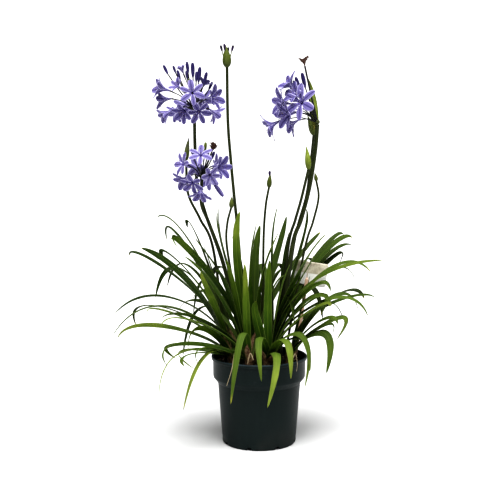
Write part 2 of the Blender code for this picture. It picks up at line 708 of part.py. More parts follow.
def floret(base, axis, opening, size, spin):
    """Funnel with six pointed tepals as one closed star. Each tepal has a centre line of two pairs
    of points, one thickness apart, sharp edges, and shares its valleys with its neighbours."""
    flare = math.radians(24 + 52 * opening)
    turn = axis.to_track_quat("Z", "Y").to_matrix()

    def put(angle, radius, height):
        local = Vector((radius * math.cos(angle), radius * math.sin(angle), height)) * size
        return base + turn @ local

    points = [base.copy(), base + turn @ Vector((0.0, 0.0, TUBE_LENGTH * 0.55 * size))]
    for tepal in range(6):
        angle = spin + math.tau * tepal / 6
        wide = TEPAL_WIDTH * (1.0 if tepal % 2 else 0.82)
        lift = 0.0 if tepal % 2 else -0.7 * MM
        middle_radius = THROAT_RADIUS + TEPAL_LENGTH * 0.52 * math.sin(flare)
        middle_height = TUBE_LENGTH + TEPAL_LENGTH * 0.52 * math.cos(flare) + lift
        curl = flare + math.radians(16)
        tip_radius = middle_radius + TEPAL_LENGTH * 0.48 * math.sin(curl)
        tip_height = middle_height + TEPAL_LENGTH * 0.48 * math.cos(curl)
        spread = wide / 2 / middle_radius
        points.append(put(angle + math.tau / 12, THROAT_RADIUS * 0.92, TUBE_LENGTH - 0.4 * MM))
        points.append(put(angle - spread, middle_radius, middle_height + 0.8 * MM))
        points.append(put(angle + spread, middle_radius, middle_height + 0.8 * MM))
        points.append(put(angle, tip_radius, tip_height))
        points.append(put(angle, THROAT_RADIUS * 1.16, TUBE_LENGTH - 0.6 * MM))
        points.append(put(angle, THROAT_RADIUS * 0.86, TUBE_LENGTH + 0.7 * MM))
        in_radius, in_height = TEPAL_THICKNESS * 0.3, TEPAL_THICKNESS * 0.6
        points.append(put(angle, middle_radius + in_radius, middle_height - in_height))
        points.append(put(angle, middle_radius - in_radius, middle_height + in_height))
    faces = []
    for tepal in range(6):
        first = 2 + tepal * 8
        valley, left, right, tip, under, over, under_mid, over_mid = range(first, first + 8)
        before = 2 + ((tepal - 1) % 6) * 8
        for pole, near, mid in ((0, under, under_mid), (1, over, over_mid)):
            faces += [(pole, before, near), (pole, near, valley), (before, left, mid), (before, mid, near),
                      (near, mid, valley), (mid, right, valley), (left, tip, mid), (mid, tip, right)]
    return mesh_from("floret", points, faces)


def make_bloom(name, group, material):
    """Umbel: a small knob over the stem's top, thin stalks, open florets and closed buds."""
    path = scape_points(name)
    top = path[-1]
    knob_centre = top + Vector((0.0, 0.0, KNOB_RADIUS + GAP + 0.4 * MM))
    form = bmesh.new()
    bmesh.ops.create_uvsphere(form, u_segments=8, v_segments=6, radius=KNOB_RADIUS)
    bmesh.ops.transform(form, matrix=Matrix.Translation(knob_centre), verts=form.verts)
    knob = bpy.data.meshes.new("knob")
    form.to_mesh(knob)
    form.free()
    meshes = [knob]
    draw = random.Random(name)
    for across, up, depth, opening, size in FLORETS[name]:
        mouth = knob_centre + Vector((across, depth, up)) * CM
        way = (mouth - knob_centre).normalized()
        droop = 0.45 * (1 - 0.6 * max(way.z, 0.0))
        axis = (way + Vector((0.0, -0.12, -droop))).normalized()
        base = mouth - axis * (TUBE_LENGTH + 4 * MM) * size
        reach = (base - knob_centre).length
        out = Vector((way.x, way.y, max(way.z, -0.1))).normalized()
        bow = knob_centre + (base - knob_centre) * 0.5
        bow += (out - way) * reach * 0.3 + Vector((0.0, 0.0, 0.10 * reach))
        stalk_end = base + axis * 3 * MM
        meshes.append(rod([knob_centre + out * STALK_ROOT, bow, stalk_end], [PEDICEL_RADIUS] * 3, 0))
        meshes.append(floret(base, axis, opening, size, draw.uniform(0.0, math.tau / 6)))
    for across, up, depth, length in BUDS[name]:
        tip = knob_centre + Vector((across, depth, up)) * CM
        way = (tip - knob_centre).normalized()
        axis = (way + Vector((0.0, 0.0, 0.35 if up > 0 else -0.35))).normalized()
        root = tip - axis * length * MM
        width = length * 0.17 * MM + 2.4 * MM
        out = Vector((way.x, way.y, max(way.z, -0.1))).normalized()
        meshes.append(rod([knob_centre + out * STALK_ROOT, root + axis * 3 * MM], [PEDICEL_RADIUS] * 2, 0))
        meshes.append(egg(root, tip, width, 5, 4, 0.62))
    return fuse("bloom_" + name, meshes, group, material)


def make_label(group, material):
    """Bare bent card on a narrow stake, both one moulding."""
    stake_foot, stake_top, lean = stake_ends()
    across = Vector((1.0, -0.25, 0.0)).normalized()
    across = (across - lean * across.dot(lean)).normalized()
    face = across.cross(lean)
    points = []
    for centre in (stake_foot, stake_top):
        for a, b in ((-1, -1), (1, -1), (1, 1), (-1, 1)):
            points.append(centre + across * (a * STAKE_WIDTH / 2) + face * (b * STAKE_THICKNESS / 2))
    box = [(0, 1, 2, 3), (4, 5, 6, 7), (0, 1, 5, 4), (1, 2, 6, 5), (2, 3, 7, 6), (3, 0, 4, 7)]
    stake = mesh_from("stake", points, box)
    centre = place(*CARD_CENTRE, STAKE_DEPTH)
    columns = 8
    points = []
    for side in (-1, 1):
        for column in range(columns + 1):
            u = column / columns - 0.5
            bow = -CARD_BEND * 4 * u * u
            middle = centre + across * (u * CARD_SIZE[0]) + face * (bow + side * CARD_THICKNESS / 2)
            points += [middle - lean * CARD_SIZE[1] / 2, middle + lean * CARD_SIZE[1] / 2]
    faces = []
    back = (columns + 1) * 2
    for column in range(columns):
        a = column * 2
        faces += [(a, a + 2, a + 3, a + 1), (back + a, back + a + 1, back + a + 3, back + a + 2)]
        faces += [(a, back + a, back + a + 2, a + 2), (a + 1, a + 3, back + a + 3, back + a + 1)]
    faces += [(0, 1, back + 1, back), (back - 2, 2 * back - 2, 2 * back - 1, back - 1)]
    card = mesh_from("card", points, faces)
    return fuse("plant_label", [stake, card], group, material)


def drawn_leaves(draw, fan, count):
    """Leaf rows for the back and the inside of a fan, in the same terms as the rows seen."""
    x, y, _ = NECKS[fan]
    rows = []
    for _ in range(count):
        way = math.atan2(y + 1.5, x) + draw.uniform(-0.8, 0.8)
        if math.sin(way) < 0.1:
            way = draw.uniform(0.15, math.pi - 0.15)
        reach = draw.uniform(12, 26)
        crest = draw.uniform(34, 45)
        drop = draw.uniform(-2, 16) * (reach / 26)
        through = (x + 0.62 * reach * math.cos(way), crest)
        tip = (x + reach * math.cos(way), crest - drop)
        rows.append((draw.uniform(12, 16), draw.uniform(-35, 35), through, tip, y + reach * math.sin(way)))
    return rows


def leaf_terms(fan, row, attempt):
    """Foot, rise, point passed, tip, width, roll and thickness of a leaf at one try: its tip swings
    by turns before and behind the depth that was judged, a step further each time."""
    x, y, high = NECKS[fan]
    width, roll, through, tip, depth = row
    swing = (attempt + 1) // 2 * (DEPTH_STEP if attempt % 2 else -DEPTH_STEP)
    tip_depth = depth + swing
    turn = roll + (attempt % 5 - 2) * ROLL_STEP * (attempt > 4)
    over = place(*through, y + (tip_depth - y) * PASS_DEPTH_SHARE)
    way = Vector((over.x - x * CM, over.y - y * CM, 0.0))
    way = way.normalized() if way.length > MM else Vector((0.0, 1.0, 0.0))
    foot = Vector((x * CM, y * CM, SOIL_LEVEL + high * CM - LEAF_ROOT_DEPTH)) + way * LEAF_ROOT_REACH
    climb = max(over.z - foot.z, 2 * CM)
    rise = Vector((0.0, 0.0, climb * RISE_UP)) + way * climb * RISE_OUT
    return foot, rise, over, place(*tip, tip_depth), width * LEAF_BREADTH * MM, turn, LEAF_THICKNESS


def make_fans(group, materials, obstacles):
    """All fans together. Each leaf is tried where it is seen and then swung in depth until it is
    clear of what stands already and of its own fan's blades. One that finds no room is left out."""
    blades = {fan: [] for fan in NECKS}
    fixed = list(obstacles)
    for fan, (x, y, high) in NECKS.items():
        form = bmesh.new()
        bmesh.ops.create_cone(form, cap_ends=True, segments=8, radius1=NECK_RADIUS,
                              radius2=NECK_RADIUS * 0.8, depth=SOIL_LEVEL + high * CM - HOLE_BOTTOM - GAP)
        middle = (HOLE_BOTTOM + GAP + SOIL_LEVEL + high * CM) / 2
        bmesh.ops.translate(form, verts=form.verts, vec=(x * CM, y * CM, middle))
        neck = bpy.data.meshes.new(fan + "_neck")
        form.to_mesh(neck)
        form.free()
        blades[fan].append(neck)
        points = [v.co.copy() for v in neck.vertices]
        fixed.append((fan, tree_of(points, [tuple(p.vertices) for p in neck.polygons])))
    draw = random.Random(LEAF_SEED)
    placed = []
    leaves = [(fan, row) for fan, rows in LEAVES.items() for row in rows]
    leaves += [(fan, row) for fan, count in MORE_LEAVES.items() for row in drawn_leaves(draw, fan, count)]
    for number, (fan, row) in enumerate(leaves):
        for attempt in range(TRIES):
            leaf = leaf_terms(fan, row, attempt)
            wide = strap_leaf(*leaf, CLEARANCE)
            whole = tree_of(*wide)
            if any(whole.overlap(tree) for owner, tree in fixed if owner != fan):
                continue
            if any(whole.overlap(tree) for owner, tree, _ in placed if owner != fan):
                continue
            upper = tree_of(*wide, BLADE_FIRST)
            own = [part for owner, _, part in placed if owner == fan]
            if attempt >= STRICT_TRIES or not any(upper.overlap(part) for part in own):
                form = strap_leaf(*leaf, 0.0)
                placed.append((fan, tree_of(*form), tree_of(*form, BLADE_FIRST)))
                blades[fan].append(mesh_from(f"{fan}_leaf_{number}", *form))
                break
    for fan, meshes in blades.items():
        fuse("leaf_fan_" + fan, meshes, group, materials[fan])


def main():
    clear_scene()
    plant = new_collection("agapanthus")
    cutters = new_collection("cutters")
    pot = make_pot(plant, make_material("pot_plastic", (0.012, 0.016, 0.018), 0.42), cutters)
    soil = make_soil(plant, make_material("soil", (0.020, 0.014, 0.010), 0.95), cutters)
    label = make_label(plant, make_material("label_plastic", (0.72, 0.66, 0.52), 0.5))
    green = make_material("stem_green", (0.055, 0.085, 0.022), 0.5)
    blue = make_material("flower_blue", (0.16, 0.13, 0.50), 0.55)
    obstacles = [("pot", tree_of_object(pot)), ("soil", tree_of_object(soil)),
                 ("label", tree_of_object(label))]
    for name in SCAPES:
        scape = make_scape(name, plant, green)
        obstacles.append((scape.name, tree_of_object(scape)))
    for name in FLORETS:
        bloom = make_bloom(name, plant, blue)
        obstacles.append((bloom.name, tree_of_object(bloom)))
    leaf_greens = {}
    for number, fan in enumerate(NECKS):
        tone = 1.0 + 0.10 * (number % 3)
        leaf_greens[fan] = make_material("leaf_green_" + fan, (0.060 * tone, 0.150 * tone, 0.022), 0.45)
    make_fans(plant, leaf_greens, obstacles)


main()
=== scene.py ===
"""Agapanthus in a nursery pot: the finish of the pot, soil, label, leaves, stems and flowers."""
import math
import random

import bmesh
import bpy
import numpy as np
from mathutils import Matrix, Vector


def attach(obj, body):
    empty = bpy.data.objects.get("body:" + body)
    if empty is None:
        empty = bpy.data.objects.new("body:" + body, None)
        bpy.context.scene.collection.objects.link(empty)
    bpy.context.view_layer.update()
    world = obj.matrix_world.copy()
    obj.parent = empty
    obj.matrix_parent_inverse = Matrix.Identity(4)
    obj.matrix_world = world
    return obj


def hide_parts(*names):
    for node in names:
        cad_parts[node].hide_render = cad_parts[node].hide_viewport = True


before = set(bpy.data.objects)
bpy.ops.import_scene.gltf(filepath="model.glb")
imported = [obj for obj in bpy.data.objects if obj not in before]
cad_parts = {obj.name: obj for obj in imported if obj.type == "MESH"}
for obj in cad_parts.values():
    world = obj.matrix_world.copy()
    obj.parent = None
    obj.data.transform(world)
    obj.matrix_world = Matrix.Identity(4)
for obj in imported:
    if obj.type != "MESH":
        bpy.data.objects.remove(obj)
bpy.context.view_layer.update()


# The view: the plant stands on a pale floor in soft studio light, seen with some contrast. The camera
# is about level with the flower heads, 2.4 m away, and looks slightly down, as the pot's ellipses show.
EYE = Vector((0.0, -2.40, 0.755))
LOOK_DOWN = math.radians(6.42)
LOOK_LEFT = math.radians(0.55)
FOCAL_PIXELS = 973.0
PICTURE_PIXELS = 500.0
ROOM_LIGHT = 0.11
ROOM_SEEN = 1.05
SUN_STRENGTH = 4.9
SUN_SPREAD = math.radians(50)
SUN_FROM = Vector((0.02, -0.38, 1.0))
FLOOR_REACH = 30

camera_data = bpy.data.cameras.new("camera")
camera_data.sensor_width = 36.0
camera_data.lens = camera_data.sensor_width * FOCAL_PIXELS / PICTURE_PIXELS
camera = bpy.data.objects.new("camera", camera_data)
camera.location = EYE
camera.rotation_euler = (math.pi / 2 - LOOK_DOWN, 0.0, LOOK_LEFT)
bpy.context.scene.collection.objects.link(camera)
bpy.context.scene.camera = camera
bpy.context.scene.view_settings.view_transform = "Standard"
bpy.context.scene.view_settings.look = "High Contrast"

world = bpy.data.worlds.new("studio")
world.use_nodes = True
sky = world.node_tree.nodes["Background"]
sky.inputs["Color"].default_value = (1.0, 1.0, 1.0, 1.0)
seen = world.node_tree.nodes.new("ShaderNodeLightPath")
glow = world.node_tree.nodes.new("ShaderNodeMapRange")
glow.inputs["To Min"].default_value = ROOM_LIGHT
glow.inputs["To Max"].default_value = ROOM_SEEN
world.node_tree.links.new(seen.outputs["Is Camera Ray"], glow.inputs["Value"])
world.node_tree.links.new(glow.outputs["Result"], sky.inputs["Strength"])
bpy.context.scene.world = world

sun_data = bpy.data.lights.new("sun", "SUN")
sun_data.energy = SUN_STRENGTH
sun_data.angle = SUN_SPREAD
sun = bpy.data.objects.new("sun", sun_data)
sun.rotation_euler = SUN_FROM.to_track_quat("Z", "Y").to_euler()
bpy.context.scene.collection.objects.link(sun)


class Wire:
    """An output socket of a shader. Arithmetic on it adds Math nodes, and add() makes any other
    node from its type, its settings and the values or wires of its sockets."""

    def __init__(self, tree, socket=None):
        self.tree = tree
        self.socket = socket

    def add(self, kind, settings=None, sockets=None, out=0):
        node = self.tree.nodes.new(kind)
        for name, value in (settings or {}).items():
            if name == "stops":
                ramp = node.color_ramp
                while len(ramp.elements) < len(value):
                    ramp.elements.new(0.5)
                for element, (position, colour) in zip(ramp.elements, value):
                    element.position = position
                    element.color = (*colour, 1.0)
            else:
                setattr(node, name, value)
        for name, value in (sockets or {}).items():
            if isinstance(value, Wire):
                self.tree.links.new(value.socket, node.inputs[name])
            else:
                node.inputs[name].default_value = value
        return Wire(self.tree, node.outputs[out])

    def maths(self, operation, first, second):
        return self.add("ShaderNodeMath", {"operation": operation}, {0: first, 1: second})

    def __add__(self, other):
        return self.maths("ADD", self, other)

    def __sub__(self, other):
        return self.maths("SUBTRACT", self, other)

    def __rsub__(self, other):
        return self.maths("SUBTRACT", other, self)

    def __mul__(self, other):
        return self.maths("MULTIPLY", self, other)

    __radd__ = __add__
    __rmul__ = __mul__

    def noise(self, scale, detail=4.0, where=None):
        spot = where or self.add("ShaderNodeTexCoord", out=3)
        return self.add("ShaderNodeTexNoise", {}, {"Vector": spot, "Scale": scale, "Detail": detail})

    def step(self, low, high):
        """0 below low, 1 above high, smooth between."""
        return self.add("ShaderNodeMapRange", {"interpolation_type": "SMOOTHSTEP"},
                        {"Value": self, "From Min": low, "From Max": high})

    def mix(self, first, second):
        """Colour first where this is 0, second where it is 1."""
        return self.add("ShaderNodeMix", {"data_type": "RGBA"}, {0: self, 6: first, 7: second}, out=2)


def finish(name, paint):
    """Material whose paint(wire) returns sockets for the shader: links for what varies over the
    surface, plain values for what is the same all over, and "Bump" as (height, distance)."""
    material = bpy.data.materials.new(name)
    material.use_nodes = True
    shader = material.node_tree.nodes["Principled BSDF"]
    wire = Wire(material.node_tree)
    for socket, value in paint(wire).items():
        if socket == "Bump":
            height, distance = value
            value = wire.add("ShaderNodeBump", {}, {"Height": height, "Distance": distance})
            socket = "Normal"
        if isinstance(value, Wire):
            material.node_tree.links.new(value.socket, shader.inputs[socket])
        else:
            shader.inputs[socket].default_value = value
    return material


def floor_paint(wire):
    """Matt pale grey, the same all over."""
    return {"Base Color": (0.74, 0.74, 0.74, 1.0), "Roughness": 0.9}


floor_mesh = bpy.data.meshes.new("floor")
floor_corners = [(x * FLOOR_REACH, y * FLOOR_REACH, 0) for x, y in ((-1, -1), (1, -1), (1, 1), (-1, 1))]
floor_mesh.from_pydata(floor_corners, [], [(0, 1, 2, 3)])
floor_mesh.materials.append(finish("pale_floor", floor_paint))
floor = bpy.data.objects.new("floor", floor_mesh)
bpy.context.scene.collection.objects.link(floor)


# The pot: a thin black polypropylene nursery pot, injection moulded in one shot. It has a rolled
# lip, a straight collar above a chamfer, a body that tapers to the foot and notches that drain it.
POT_HEIGHT = 0.220
RIM_RADIUS = 0.120
LIP_HEIGHT = 0.008
COLLAR_RADIUS = 0.1158
COLLAR_FOOT = 0.167
BODY_TOP = 0.152
BODY_TOP_RADIUS = 0.1035
BASE_RADIUS = 0.0925
POT_WALL = 0.0018
FLOOR = 0.0025
NOTCHES = 8
NOTCH_WIDTH = 0.014
NOTCH_HEIGHT = 0.007
NOTCH_INNER = 0.0775
NOTCH_START = math.radians(7)
NOTCH_EDGE = 0.0012
POT_CORNER = 0.0016
POT_TURNS = 256


def skin(name, sheets, material, nodes=()):
    """One piece from grids of points. Neighbours in a grid make its faces, each grid also closes from
    its last column to its first, and rows that shrink to one point are welded into a pole. A sheet
    is (points, uv, trait), with uv one spot or a grid of them and trait one colour or a grid."""
    points, faces, spots, traits = [], [], [], []
    first = 0
    for grid, uv, trait in sheets:
        rows, columns = grid.shape[:2]
        index = first + np.arange(rows * columns).reshape(rows, columns)
        beside = np.roll(index, -1, axis=1)
        faces.append(np.stack([index[:-1], beside[:-1], beside[1:], index[1:]], axis=-1).reshape(-1, 4))
        points.append(grid.reshape(-1, 3))
        spots.append(np.broadcast_to(uv, (rows, columns, 2)).reshape(-1, 2))
        traits.append(np.broadcast_to(np.asarray(trait, float), (rows, columns, 4)).reshape(-1, 4))
        first += rows * columns
    points, faces = np.concatenate(points), np.concatenate(faces)
    spots, traits = np.concatenate(spots), np.concatenate(traits)
    mesh = bpy.data.meshes.new(name)
    mesh.from_pydata(points.tolist(), [], faces.tolist())
    mesh.uv_layers.new(name="spot").data.foreach_set("uv", spots[faces.ravel()].ravel())
    mesh.color_attributes.new("trait", "FLOAT_COLOR", "POINT").data.foreach_set("color", traits.ravel())
    form = bmesh.new()
    form.from_mesh(mesh)
    bmesh.ops.remove_doubles(form, verts=form.verts, dist=2e-6)
    bmesh.ops.recalc_face_normals(form, faces=form.faces)
    form.to_mesh(mesh)
    form.free()
    mesh.shade_smooth()
    mesh.materials.append(material)
    piece = bpy.data.objects.new(name, mesh)
    bpy.context.scene.collection.objects.link(piece)
    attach(piece, "root")
    if nodes:
        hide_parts(*nodes)
    return piece


def rounded(corners, radius):
    """The line through the corners with each inner corner replaced by a short quadratic arc that
    starts and ends one radius from it, or two fifths of the side where that is shorter."""
    corners = [np.array(corner, float) for corner in corners]
    line = [corners[0]]
    for before, corner, after in zip(corners, corners[1:], corners[2:]):
        back, on = before - corner, after - corner
        back *= min(radius, 0.4 * np.linalg.norm(back)) / np.linalg.norm(back)
        on *= min(radius, 0.4 * np.linalg.norm(on)) / np.linalg.norm(on)
        for t in (0.0, 0.25, 0.5, 0.75, 1.0):
            line.append(corner + back * (1 - t) ** 2 + on * t ** 2)
    return np.array(line + [corners[-1]])


def turned(line, turns):
    """Surface of revolution: each point (radius, height) of the line goes round the Z axis."""
    angle = np.linspace(0.0, math.tau, turns, endpoint=False)
    radius, height = line[:, :1], line[:, 1:]
    return np.stack([radius * np.cos(angle), radius * np.sin(angle), height + 0 * angle], axis=-1)


def pot_paint(wire):
    """Near-black plastic: broad mottling of the colour, faint flow lines up the wall, fine grain in
    the gloss, dust that gathers low on the body, dull scuffs on the collar and a painted lip highlight."""
    place = wire.add("ShaderNodeTexCoord", out=3)
    height = wire.add("ShaderNodeSeparateXYZ", {}, {"Vector": place}, out=2)
    stretched = wire.add("ShaderNodeMapping", {}, {"Vector": place, "Scale": (1.0, 1.0, 0.08)})
    flow = wire.noise(70.0, 3.0, stretched)
    cloud = wire.noise(9.0, 5.0)
    grain = wire.noise(900.0, 2.0)
    dust = (1 - height.step(0.0, 0.09)) * cloud.step(0.45, 0.75) * 0.6
    scuff = wire.noise(46.0, 8.0).step(0.60, 0.72) * height.step(0.14, 0.19) * 0.5
    colour = (cloud * 0.6 + flow * 0.4).mix((0.007, 0.012, 0.012, 1.0), (0.016, 0.026, 0.025, 1.0))
    colour = dust.mix(colour, (0.034, 0.034, 0.031, 1.0))
    colour = scuff.mix(colour, (0.028, 0.036, 0.036, 1.0))
    # Painted highlight: a pale blue-grey band round the top of the lip, broken up by the mottling.
    lip_highlight = height.step(0.2168, 0.2188) * (cloud * 0.5 + 0.5)
    colour = (lip_highlight * 0.8).mix(colour, (0.060, 0.085, 0.100, 1.0))
    rough = 0.34 + cloud * 0.14 + dust * 0.25 + scuff * 0.2
    return {"Base Color": colour, "Roughness": rough, "Specular IOR Level": 0.12,
            "Bump": (grain * 0.5 + flow * 0.5, 0.0004)}


collar_top = POT_HEIGHT - LIP_HEIGHT
pot_line = rounded([
    (0.0, FLOOR), (BASE_RADIUS - POT_WALL - 0.002, FLOOR), (BASE_RADIUS - POT_WALL, FLOOR + 0.002),
    (BODY_TOP_RADIUS - POT_WALL, BODY_TOP), (COLLAR_RADIUS - POT_WALL, COLLAR_FOOT),
    (COLLAR_RADIUS - POT_WALL, POT_HEIGHT - 0.001), (COLLAR_RADIUS - 0.0008, POT_HEIGHT),
    (RIM_RADIUS - 0.0012, POT_HEIGHT), (RIM_RADIUS, POT_HEIGHT - 0.0014), (RIM_RADIUS - 0.0002, collar_top),
    (COLLAR_RADIUS + 0.0002, collar_top - 0.0004), (COLLAR_RADIUS - 0.0002, COLLAR_FOOT + 0.004),
    (COLLAR_RADIUS - 0.0008, COLLAR_FOOT), (BODY_TOP_RADIUS + 0.0006, BODY_TOP + 0.0012),
    (BODY_TOP_RADIUS, BODY_TOP), (BASE_RADIUS + 0.0012, 0.022), (BASE_RADIUS, 0.014),
    (BASE_RADIUS, 0.003), (BASE_RADIUS - 0.0018, 0.0), (NOTCH_INNER + 0.002, 0.0), (NOTCH_INNER, 0.0),
    (0.0, 0.0),
], POT_CORNER)
pot_grid = turned(pot_line, POT_TURNS)
around = np.arctan2(pot_grid[..., 1], pot_grid[..., 0]) - NOTCH_START
sector = math.tau / NOTCHES
from_notch = np.abs((around % sector) - sector / 2) * BASE_RADIUS
lift = np.clip((NOTCH_WIDTH / 2 - from_notch) / NOTCH_EDGE, 0.0, 1.0)
reach = np.hypot(pot_grid[..., 0], pot_grid[..., 1])
low = (pot_grid[..., 2] < NOTCH_HEIGHT) & (reach > NOTCH_INNER + 0.001)
pot_grid[..., 2] = np.where(low, np.maximum(pot_grid[..., 2], NOTCH_HEIGHT * lift), pot_grid[..., 2])
skin("pot_shell", [(pot_grid, (0.0, 0.0), (0, 0, 0, 0))], finish("pot_black", pot_paint),
     ["pot"])


# The soil: dark peat compost with crumbs of bark and pale bits of root, filled to just under the
# lip and settled round the stems. The plug below its top stands for the root ball.
MM = 0.001
SOIL_LEVEL = 0.200
SOIL_REACH = COLLAR_RADIUS - POT_WALL - 0.0009
SOIL_RINGS = 64
SOIL_TURNS = 192
CRUMBS = 1500
PALE_CRUMB = 28
STRAWS = 64


def soil_paint(wire):
    """Black-brown peat: crumbly patches of three browns, damp and dry, all rough."""
    coarse = wire.noise(60.0, 6.0)
    fine = wire.noise(420.0, 4.0)
    trait = wire.add("ShaderNodeAttribute", {"attribute_name": "trait"})
    pale = wire.add("ShaderNodeSeparateColor", {}, {"Color": trait})
    colour = coarse.step(0.35, 0.7).mix((0.008, 0.005, 0.004, 1.0), (0.050, 0.030, 0.019, 1.0))
    colour = (fine.step(0.52, 0.75) * 0.8).mix(colour, (0.130, 0.078, 0.046, 1.0))
    colour = pale.mix(colour, (0.42, 0.31, 0.17, 1.0))
    return {"Base Color": colour, "Roughness": 0.78 + fine * 0.2, "Bump": (fine + coarse, 0.002)}


def soil_height(x, y):
    """Hummocks of the compost's top: three crossed waves and a finer ripple."""
    broad = np.sin(x * 95 + 1.0) * np.cos(y * 83 - 0.6) + 0.7 * np.sin(x * 61 - y * 117 + 2.0)
    return broad * 0.0011 + np.sin(x * 410 + y * 260) * np.sin(y * 370 - x * 150) * 0.0006


def crumb(number, draw):
    """Lump of bark or peat on the soil: a coarse ball, wider than high, whose points are moved in or
    out by up to a quarter. One in PALE_CRUMB is pale."""
    radius = SOIL_REACH * math.sqrt(draw.uniform(0.0, 0.97))
    angle = draw.uniform(0.0, math.tau)
    x, y = radius * math.cos(angle), radius * math.sin(angle)
    size = draw.uniform(0.5, 1.9, 3) * draw.uniform(0.5, 1.5) * MM
    size[2] *= 0.7
    turn = np.linspace(0.0, math.tau, 5, endpoint=False)
    tilt = np.linspace(-math.pi / 2, math.pi / 2, 4)[:, None]
    ball = np.stack([np.cos(tilt) * np.cos(turn), np.cos(tilt) * np.sin(turn),
                     np.sin(tilt) + 0 * turn], axis=-1)
    warp = draw.uniform(0.75, 1.25, ball.shape)
    warp[0], warp[-1] = warp[0, :1], warp[-1, :1]
    at = np.array([x, y, SOIL_LEVEL + soil_height(x, y) + size[2] * 0.4])
    at[:2] *= min(1.0, (SOIL_REACH - 0.002) / max(radius, 1e-6))
    return ball * warp * size + at, (0.0, 0.0), (1.0 if number % PALE_CRUMB == 7 else 0.0, 0, 0, 0)


soil_draw = np.random.default_rng(5)
soil_rings = np.linspace(0.0, SOIL_REACH, SOIL_RINGS)
soil_top = turned(np.stack([soil_rings, np.full(SOIL_RINGS, SOIL_LEVEL)], axis=1), SOIL_TURNS)
soil_top[..., 2] += soil_height(soil_top[..., 0], soil_top[..., 1]) * np.clip(
    (SOIL_REACH - soil_rings)[:, None] / 0.01, 0.0, 1.0)
soil_top[1:-1, :, 2] += soil_draw.uniform(-0.0006, 0.0006, soil_top[1:-1, :, 2].shape)
soil_side = turned(np.array([(SOIL_REACH, SOIL_LEVEL), (SOIL_REACH - 0.0004, COLLAR_FOOT + 0.004),
                             (BODY_TOP_RADIUS - POT_WALL - 0.0012, BODY_TOP + 0.001),
                             (BASE_RADIUS - POT_WALL - 0.0012, 0.009), (0.0, 0.0085)]), SOIL_TURNS)
soil_sheets = [(np.concatenate([soil_top, soil_side[1:]]), (0.0, 0.0), (0, 0, 0, 0))]
soil_sheets += [crumb(number, soil_draw) for number in range(CRUMBS)]
skin("soil_top", soil_sheets, finish("peat", soil_paint), ["soil"])


def tube(path, radii, sides, flat=1.0):
    """Round skin along a path: rings of the given radii, square to the path, turned as little as
    possible from one ring to the next, with both ends drawn in to a point."""
    path = np.asarray(path, float)
    along = np.gradient(path, axis=0)
    along /= np.linalg.norm(along, axis=1, keepdims=True)
    side = np.empty_like(path)
    start = np.cross(along[0], (0.0, 1.0, 0.0) if abs(along[0][1]) < 0.9 else (1.0, 0.0, 0.0))
    for number, way in enumerate(along):
        start = start - way * start.dot(way)
        start /= np.linalg.norm(start)
        side[number] = start
    other = np.cross(along, side)
    angle = np.linspace(0.0, math.tau, sides, endpoint=False)
    cosine, sine = np.cos(angle)[None, :, None], np.sin(angle)[None, :, None]
    ring = cosine * side[:, None] + sine * other[:, None] * flat
    grid = path[:, None] + ring * np.asarray(radii, float)[:, None, None]
    grid = np.concatenate([np.repeat(path[:1, None], sides, axis=1), grid,
                           np.repeat(path[-1:, None], sides, axis=1)])
    share = np.concatenate([[0.0], np.linspace(0.0, 1.0, len(path)), [1.0]])
    uv = np.stack(np.broadcast_arrays(angle[None, :] / math.tau, share[:, None]), axis=-1)
    return grid, uv


def straw(draw):
    """Bit of dry root that lies on the soil, bowed by bend * (1 - 4t^2) for t from -0.5 to 0.5."""
    radius = SOIL_REACH * math.sqrt(draw.uniform(0.1, 0.9))
    angle = draw.uniform(0.0, math.tau)
    middle = np.array([radius * math.cos(angle), radius * math.sin(angle), SOIL_LEVEL + 0.0026])
    turn = draw.uniform(0.0, math.pi)
    way = np.array([math.cos(turn), math.sin(turn), draw.uniform(-0.1, 0.15)])
    length = draw.uniform(0.006, 0.020)
    bend = np.array([-way[1], way[0], 0.1]) * length * draw.uniform(-0.3, 0.3)
    t = np.linspace(-0.5, 0.5, 6)[:, None]
    path = middle + way * t * length + bend * (1 - 4 * t * t)
    path[:, :2] *= min(1.0, (SOIL_REACH - 0.003) / np.hypot(path[:, 0], path[:, 1]).max())
    grid, uv = tube(path, np.full(6, draw.uniform(0.4, 0.9) * MM), 5, 0.6)
    return grid, uv, (draw.uniform(0.3, 1.0), 0, 0, 0)


def straw_paint(wire):
    """Dry root, straw and sheath: rust to beige along noise, trait red bleaches it, all dull."""
    tint = wire.noise(160.0, 4.0).step(0.3, 0.7)
    trait = wire.add("ShaderNodeAttribute", {"attribute_name": "trait"})
    bleached = wire.add("ShaderNodeSeparateColor", {}, {"Color": trait})
    colour = tint.mix((0.13, 0.055, 0.028, 1.0), (0.40, 0.28, 0.16, 1.0))
    colour = (bleached * 0.75).mix(colour, (0.62, 0.52, 0.34, 1.0))
    return {"Base Color": colour, "Roughness": 0.7 + tint * 0.2}


straw_finish = finish("straw", straw_paint)
skin("soil_straw", [straw(soil_draw) for _ in range(STRAWS)], straw_finish)


# The plant label: a cream plastic card, die cut and bent by hand, on a narrow stake of the same
# sheet pushed into the soil. Both are left plain.
CM = 0.01
STAKE_FOOT = (8.6, 3.6)
STAKE_TOP = (11.9, 41.6)
STAKE_DEPTH = 5.2
STAKE_WIDTH = 9 * MM
STAKE_THICKNESS = 1.2 * MM
HOLE_BOTTOM = 0.165
CARD_CENTRE = (12.6, 42.6)
CARD_SIZE = (0.084, 0.060)
CARD_BEND = 0.012
CARD_THICKNESS = 1.0 * MM
CARD_CORNER = 0.10


def place(across, up, depth):
    """Point seen from the eye at (across, up) on the plane through the pot's axis, moved to its depth
    along that line of sight. All three in centimetres."""
    on_plane = Vector((across * CM, 0.0, up * CM))
    return EYE + (on_plane - EYE) * ((depth * CM - EYE.y) / -EYE.y)


